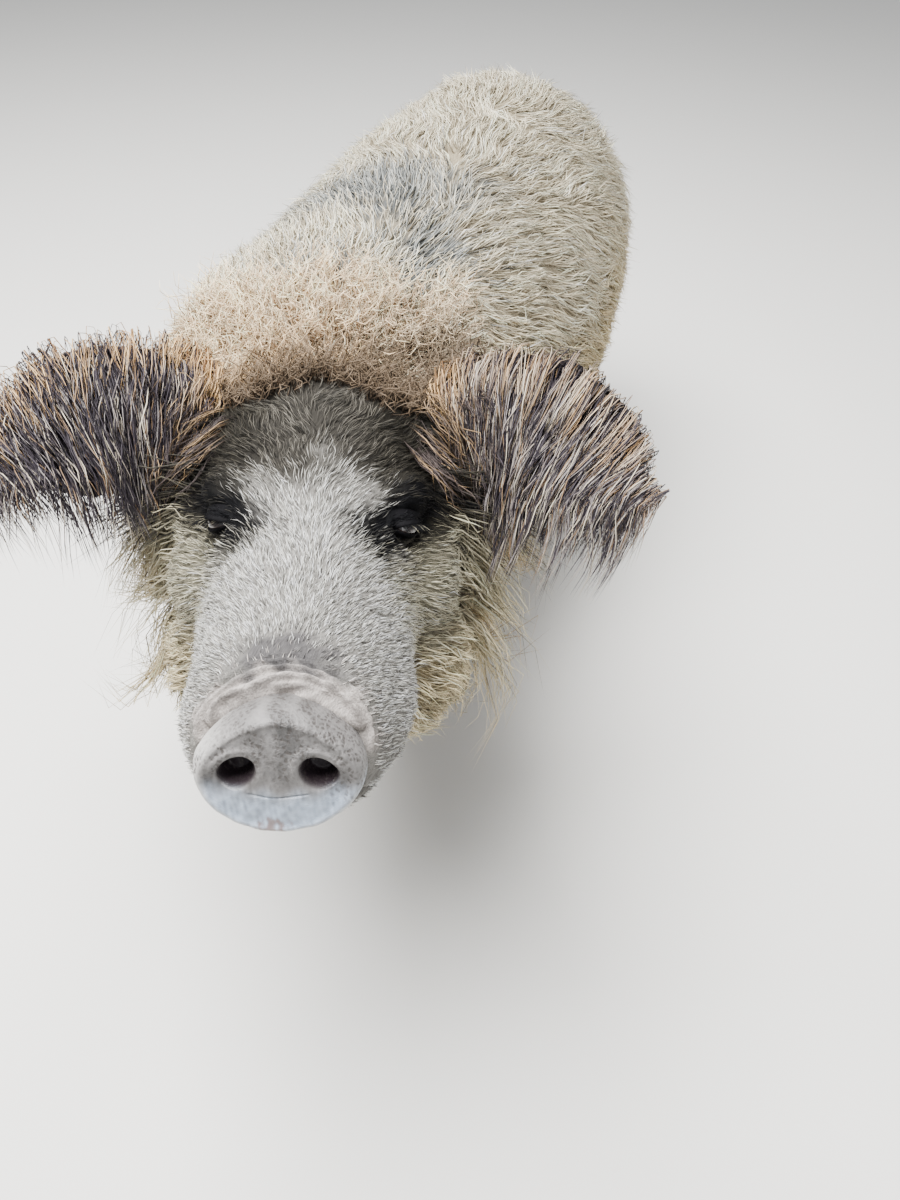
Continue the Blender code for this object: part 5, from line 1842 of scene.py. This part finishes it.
    def leg_unwrap(self, points: Rows) -> Rows:
        """Each leg's skin unrolled in its own quarter."""
        x, y, z = points.T
        quarter = 2 * (y > 0.3) + (x > BODY_PLACE[0])
        middle_y = np.where(y > 0.3, 0.56, -0.1)
        turn = round_share(np.abs(x - BODY_PLACE[0]) - 0.12, y - middle_y)
        return columns((quarter + turn) / 4, z / 0.3)

    def ear_unwrap(self, points: Rows) -> Rows:
        """Each leaf unrolled round its own middle line, the left one in the upper half of the map."""
        head = to_head(points)
        x, y, z = head.T
        return columns((np.abs(x) - 0.1) / 0.2, round_share(y + 0.03, z - 0.06) / 2 + 0.5 * (x > 0))

    def ear_tones(self, points: Rows) -> Rows:
        """Root and tip colours of the ears' short hair: blue-black, warmer at the root and the upper edge."""
        head = to_head(points)
        x = np.abs(head[:, 0])
        warm = ease(0.16, 0.125, x)[:, None] * 0.5
        root = Palette.ear[0] + (Palette.wool_dark - Palette.ear[0]) * warm
        tip = Palette.ear[1] * 1.3 + (Palette.poll_tip - Palette.ear[1]) * warm
        streak = ease(0.25, 0.6, Drift(0.004, 69, 12).at(head)) * ease(0.135, 0.11, x)
        return np.array([root, mix(tip, Palette.wool[1], 0.45 * streak)])

    def tail_density(self, points: Rows) -> Rows:
        """Where the tail is, more densely towards its end."""
        on_tail = (points[:, 1] > BODY_PLACE[1] + 0.535) & (np.abs(points[:, 0] - BODY_PLACE[0]) < 0.05)
        return on_tail * (points[:, 2] < 0.57) * (1 + 3 * ease(0.45, 0.36, points[:, 2]))

    def tail_length(self, points: Rows) -> Rows:
        """Short along the tail, long at its end."""
        return 0.022 + 0.075 * ease(0.46, 0.36, points[:, 2])

    def tail_unwrap(self, points: Rows) -> Rows:
        """The tail's skin unrolled round it."""
        x, y = points[:, 0] - BODY_PLACE[0], points[:, 1] - BODY_PLACE[1]
        return columns(round_share(x - 0.012, y - 0.568), points[:, 2] / 0.6)

    def leg_density(self, points: Rows) -> Rows:
        """Where the legs are, below the long coat."""
        head = to_head(points)
        return ease(0.27, 0.22, points[:, 2]) * (points[:, 2] > 0.042) * (head[:, 1] > 0.05)

    def growths(self) -> list[Growth]:
        """All the parts of the coat that follow the skin."""
        short, medium, long = (0.9, 0.8), (0.8, 1.0, 0.6), (0.8, 1.0, 0.8, 0.5)
        made = [
            Growth(
                name=f"face_hair_{side.word}", slot=Slot.FACE, count=16400, seed=100 + side.value,
                where=self.face_density(side.value), lie=self.face_lie, length=self.face_length,
                unwrap=self.head_unwrap, width=0.0007, rise=0.24, family=3, pinch=0.3, frizz=0.085,
                taper=short, light=0.26, dark=0.26, blend=0.009, fade=1.1,
            )
            for side in Side
        ]
        bands = (
            (-0.5, -0.14, 8200, medium),
            (-0.14, 0.14, 11600, short),
            (0.14, 0.4, 11200, short),
            (0.4, 0.8, 9800, short),
        )
        made += [
            Growth(
                name=f"body_hair_{number}", slot=Slot.COAT, count=count, seed=120 + number,
                where=self.body_density(low, high), lie=self.body_lie, length=self.body_length,
                unwrap=self.body_unwrap, width=0.0015, rise=0.24, family=4, pinch=0.3, wave=0.12,
                frizz=0.1, taper=taper, light=0.17, dark=0.14, blend=0.025,
            )
            for number, (low, high, count, taper) in enumerate(bands, 1)
        ]
        made += [
            Growth(
                name="jowl_hair", slot=Slot.FACE, count=7800, seed=110, where=self.jowl_density,
                lie=self.sideways((0.35, 0.8, -0.55), 0.4, Drift(0.05, 62)),
                length=lambda points: 0.032 + 0.03 * ease(-0.12, 0.02, to_head(points)[:, 1]),
                unwrap=self.head_unwrap, width=0.0012, rise=0.46, family=6, wave=0.09, frizz=0.09,
                light=0.2, dark=0.2,
            ),
            Growth(
                name="ruff_hair", slot=Slot.FACE, count=3900, seed=111, where=self.ruff_density,
                lie=self.sideways((1.0, 0.3, -0.55), 0.35, Drift(0.05, 67)), length=even(0.1),
                unwrap=self.head_unwrap, width=0.0015, rise=0.8, pinch=0.3, wave=0.09, frizz=0.07,
                taper=long,
            ),
            Growth(
                name="leg_hair", slot=Slot.COAT, count=6600, seed=130, where=self.leg_density,
                lie=self.leg_lie, length=self.leg_length, unwrap=self.leg_unwrap, width=0.0014,
                rise=0.16, family=4, pinch=0.3, taper=short,
            ),
            Growth(
                name="ear_down", slot=Slot.EAR, count=5600, seed=132,
                where=lambda points: self.on_ear(to_head(points)) * 1.0,
                lie=self.sideways((0.5, -0.3, -0.9), 0.3, Drift(0.03, 66)), length=even(0.013),
                unwrap=self.ear_unwrap, width=0.0013, rise=0.12, family=3, taper=short,
            ),
            Growth(
                name="forelock", slot=Slot.EAR, count=1000, seed=133, where=self.forelock_density,
                lie=self.sideways((0.55, -0.45, -0.7), 0.3, Drift(0.03, 68)), length=even(0.062),
                unwrap=self.head_unwrap, width=0.0011, rise=0.42, family=4, pinch=0.3, wave=0.06,
                frizz=0.05, taper=long, light=0.35,
            ),
            Growth(
                name="tail_hair", slot=Slot.COAT, count=1300, seed=131, where=self.tail_density,
                lie=lambda points, out: np.tile([0.0, 0.05, -1.0], (len(points), 1)),
                length=self.tail_length, unwrap=self.tail_unwrap, width=0.002, rise=0.18, wave=0.06,
                taper=long,
            ),
        ]
        return made

    def crest(self) -> Strands:
        """The crest: small tight curls, each a strand wound in a coil, dark in front and fair on top."""
        rng = np.random.default_rng(140)
        count = 4800
        roots, out = self.hide.scatter(count, self.crest_share, rng)
        clusters = roots[: count // 10]
        mine = nearest_of(clusters, roots)
        back = turn_from_head(np.array([0.0, 0.25, 0.1]))
        lean = unit(rng.normal(size=(len(clusters), 3)))[mine] * 0.55 + back
        axis = unit(out + lean + 0.35 * rng.normal(size=(count, 3)))
        across = unit(np.cross(axis, rng.normal(size=(count, 3))))
        other = np.cross(axis, across)
        tall = 0.65 + 0.35 * ease(-0.05, 0.03, to_head(roots)[:, 1])
        height = (rng.uniform(0.018, 0.052, count) * tall)[:, None]
        radius = rng.uniform(0.003, 0.008, count)[:, None]
        turns = rng.uniform(0.8, 1.4, count)[:, None]
        taper = (0.9, 1.0, 1.0, 0.8, 0.6)
        lines, faces = [], []
        for t in np.linspace(0, 1, len(taper) + 1):
            angle = 2 * math.pi * turns * t
            spread = radius * min(t * 3, 1)
            around = across * np.cos(angle) + other * np.sin(angle)
            lines.append(roots - out * 0.002 * (t == 0) + axis * height * t**0.8 + around * spread)
            faces.append(around)
        head = to_head(roots)
        y = head[:, 1] + 0.25 * np.abs(head[:, 0])
        front_edge = y - np.maximum(head[:, 0] - 0.01, 0) + 0.018 * rng.normal(size=count)
        front = ease(0.086, 0.032, front_edge)
        fair = ease(0.03, 0.11, y) * 0.45 + 0.3 * rng.random(count)
        shade = rng.uniform(0.55, 1.35, (count, 1))
        root = mix(Palette.wool[0], Palette.wool_dark, front)
        tip = mix(Palette.wool[1], Palette.back[1], fair)
        tip = mix(tip, Palette.poll_tip, front * 0.92)
        return Strands(
            lines=np.stack(lines, 1),
            out=np.stack(faces, 1),
            width=rng.uniform(0.0007, 0.0013, count),
            root=root * shade,
            tip=np.clip(tip * shade, 0, 1),
            unwrap=self.crest_unwrap(roots),
            taper=taper,
        )

    def build(self) -> None:
        """Grows every part."""
        for growth in self.growths():
            tones = self.ear_tones if growth.slot is Slot.EAR else self.markings.at
            strands = growth.strands(self.hide, tones)
            dress(strands.piece(growth.name), self.finish[growth.slot], growth.slot)
        dress(self.crest().piece("crest"), self.finish[Slot.COAT], Slot.COAT)


@dataclass
class Studio:
    """Floor, light and the camera at the photo's place.

    The camera's place, in the head's frame, and its angles come from the photo's own perspective.
    """

    camera_at: Vector = Vector((0.065, -0.815, 0.213))
    yaw: float = math.radians(3.8)
    pitch: float = math.radians(20.3)
    roll: float = math.radians(2.5)
    focal_pixels: float = 902.0
    floor_size: float = 14.0

    def floor(self) -> None:
        """The plain pale floor."""
        shape = bmesh.new()
        bmesh.ops.create_grid(shape, x_segments=1, y_segments=1, size=self.floor_size / 2)
        piece = as_piece("floor", shape)
        if piece.data.polygons[0].normal.z < 0:
            piece.data.flip_normals()
        piece.data.materials.append(FloorFinish().make())

    def camera(self) -> None:
        """The camera, with the photo's angle and field of view."""
        share = math.cos(self.pitch)
        ahead = Vector((math.sin(self.yaw) * share, math.cos(self.yaw) * share, -math.sin(self.pitch)))
        level = Vector((math.cos(self.yaw), -math.sin(self.yaw), 0))
        up = level.cross(ahead)
        right = level * math.cos(self.roll) + up * math.sin(self.roll)
        up = up * math.cos(self.roll) - level * math.sin(self.roll)
        turn = Matrix((right, up, -ahead)).transposed().to_4x4()
        lens = bpy.data.cameras.new("camera")
        lens.sensor_fit = "VERTICAL"
        lens.sensor_height = SENSOR
        lens.lens = SENSOR * self.focal_pixels / PHOTO_HEIGHT
        lens.clip_start = 0.02
        made = bpy.data.objects.new("camera", lens)
        made.matrix_world = HEAD @ Matrix.Translation(self.camera_at) @ turn
        bpy.context.scene.collection.objects.link(made)
        bpy.context.scene.camera = made

    def area(self, name: str, place: Point, aim: Point, size: float, watts: float) -> None:
        """One soft square light."""
        lamp = bpy.data.lights.new(name, "AREA")
        lamp.size = size
        lamp.energy = watts
        made = bpy.data.objects.new(name, lamp)
        made.location = place
        made.rotation_euler = (Vector(aim) - Vector(place)).to_track_quat("-Z", "Y").to_euler()
        bpy.context.scene.collection.objects.link(made)

    def light(self) -> None:
        """Soft light as under a bright overcast sky."""
        world = bpy.data.worlds.new("overcast")
        world.use_nodes = True
        sky = world.node_tree.nodes["Background"]
        sky.inputs["Color"].default_value = opaque("#E6EAF0")
        sky.inputs["Strength"].default_value = 0.62
        bpy.context.scene.world = world
        self.area("sky_light", (-0.6, -0.5, 3.2), (0.0, -0.2, 0.4), 2.2, 540.0)
        self.area("fill_light", (1.8, -2.4, 1.8), (0.1, -0.5, 0.5), 1.8, 22.0)

    def build(self) -> None:
        """Makes all three."""
        self.floor()
        self.camera()
        self.light()


def main() -> None:
    """Builds the pieces in order."""
    logging.basicConfig(level=logging.INFO, format="%(name)s %(message)s")
    markings = Markings()
    skin_finish = SkinFinish().make()
    hair = {
        Slot.COAT: HairFinish("long_coat_hair").make(),
        Slot.FACE: HairFinish("short_face_hair", roughness=0.55).make(),
        Slot.EAR: HairFinish("silky_ear_hair", roughness=0.42).make(),
    }
    Studio().build()
    ears = [Ear(side) for side in Side]
    skin = Flesh().build(ears, skin_finish, markings)
    hide = Hide(skin)
    round_eye = {Slot.COAT: skin_finish, Slot.EYE: EyeFinish().make(), Slot.FACE: hair[Slot.FACE]}
    for side in Side:
        Eye(side).build(hide, round_eye, markings)
    SnoutDisc().build(SnoutFinish().make())
    Hooves().build(HornFinish().make())
    for ear in ears:
        ear.build(hair[Slot.EAR])
    Coat(hide, markings, hair).build()


if __name__ == "__main__":
    main()
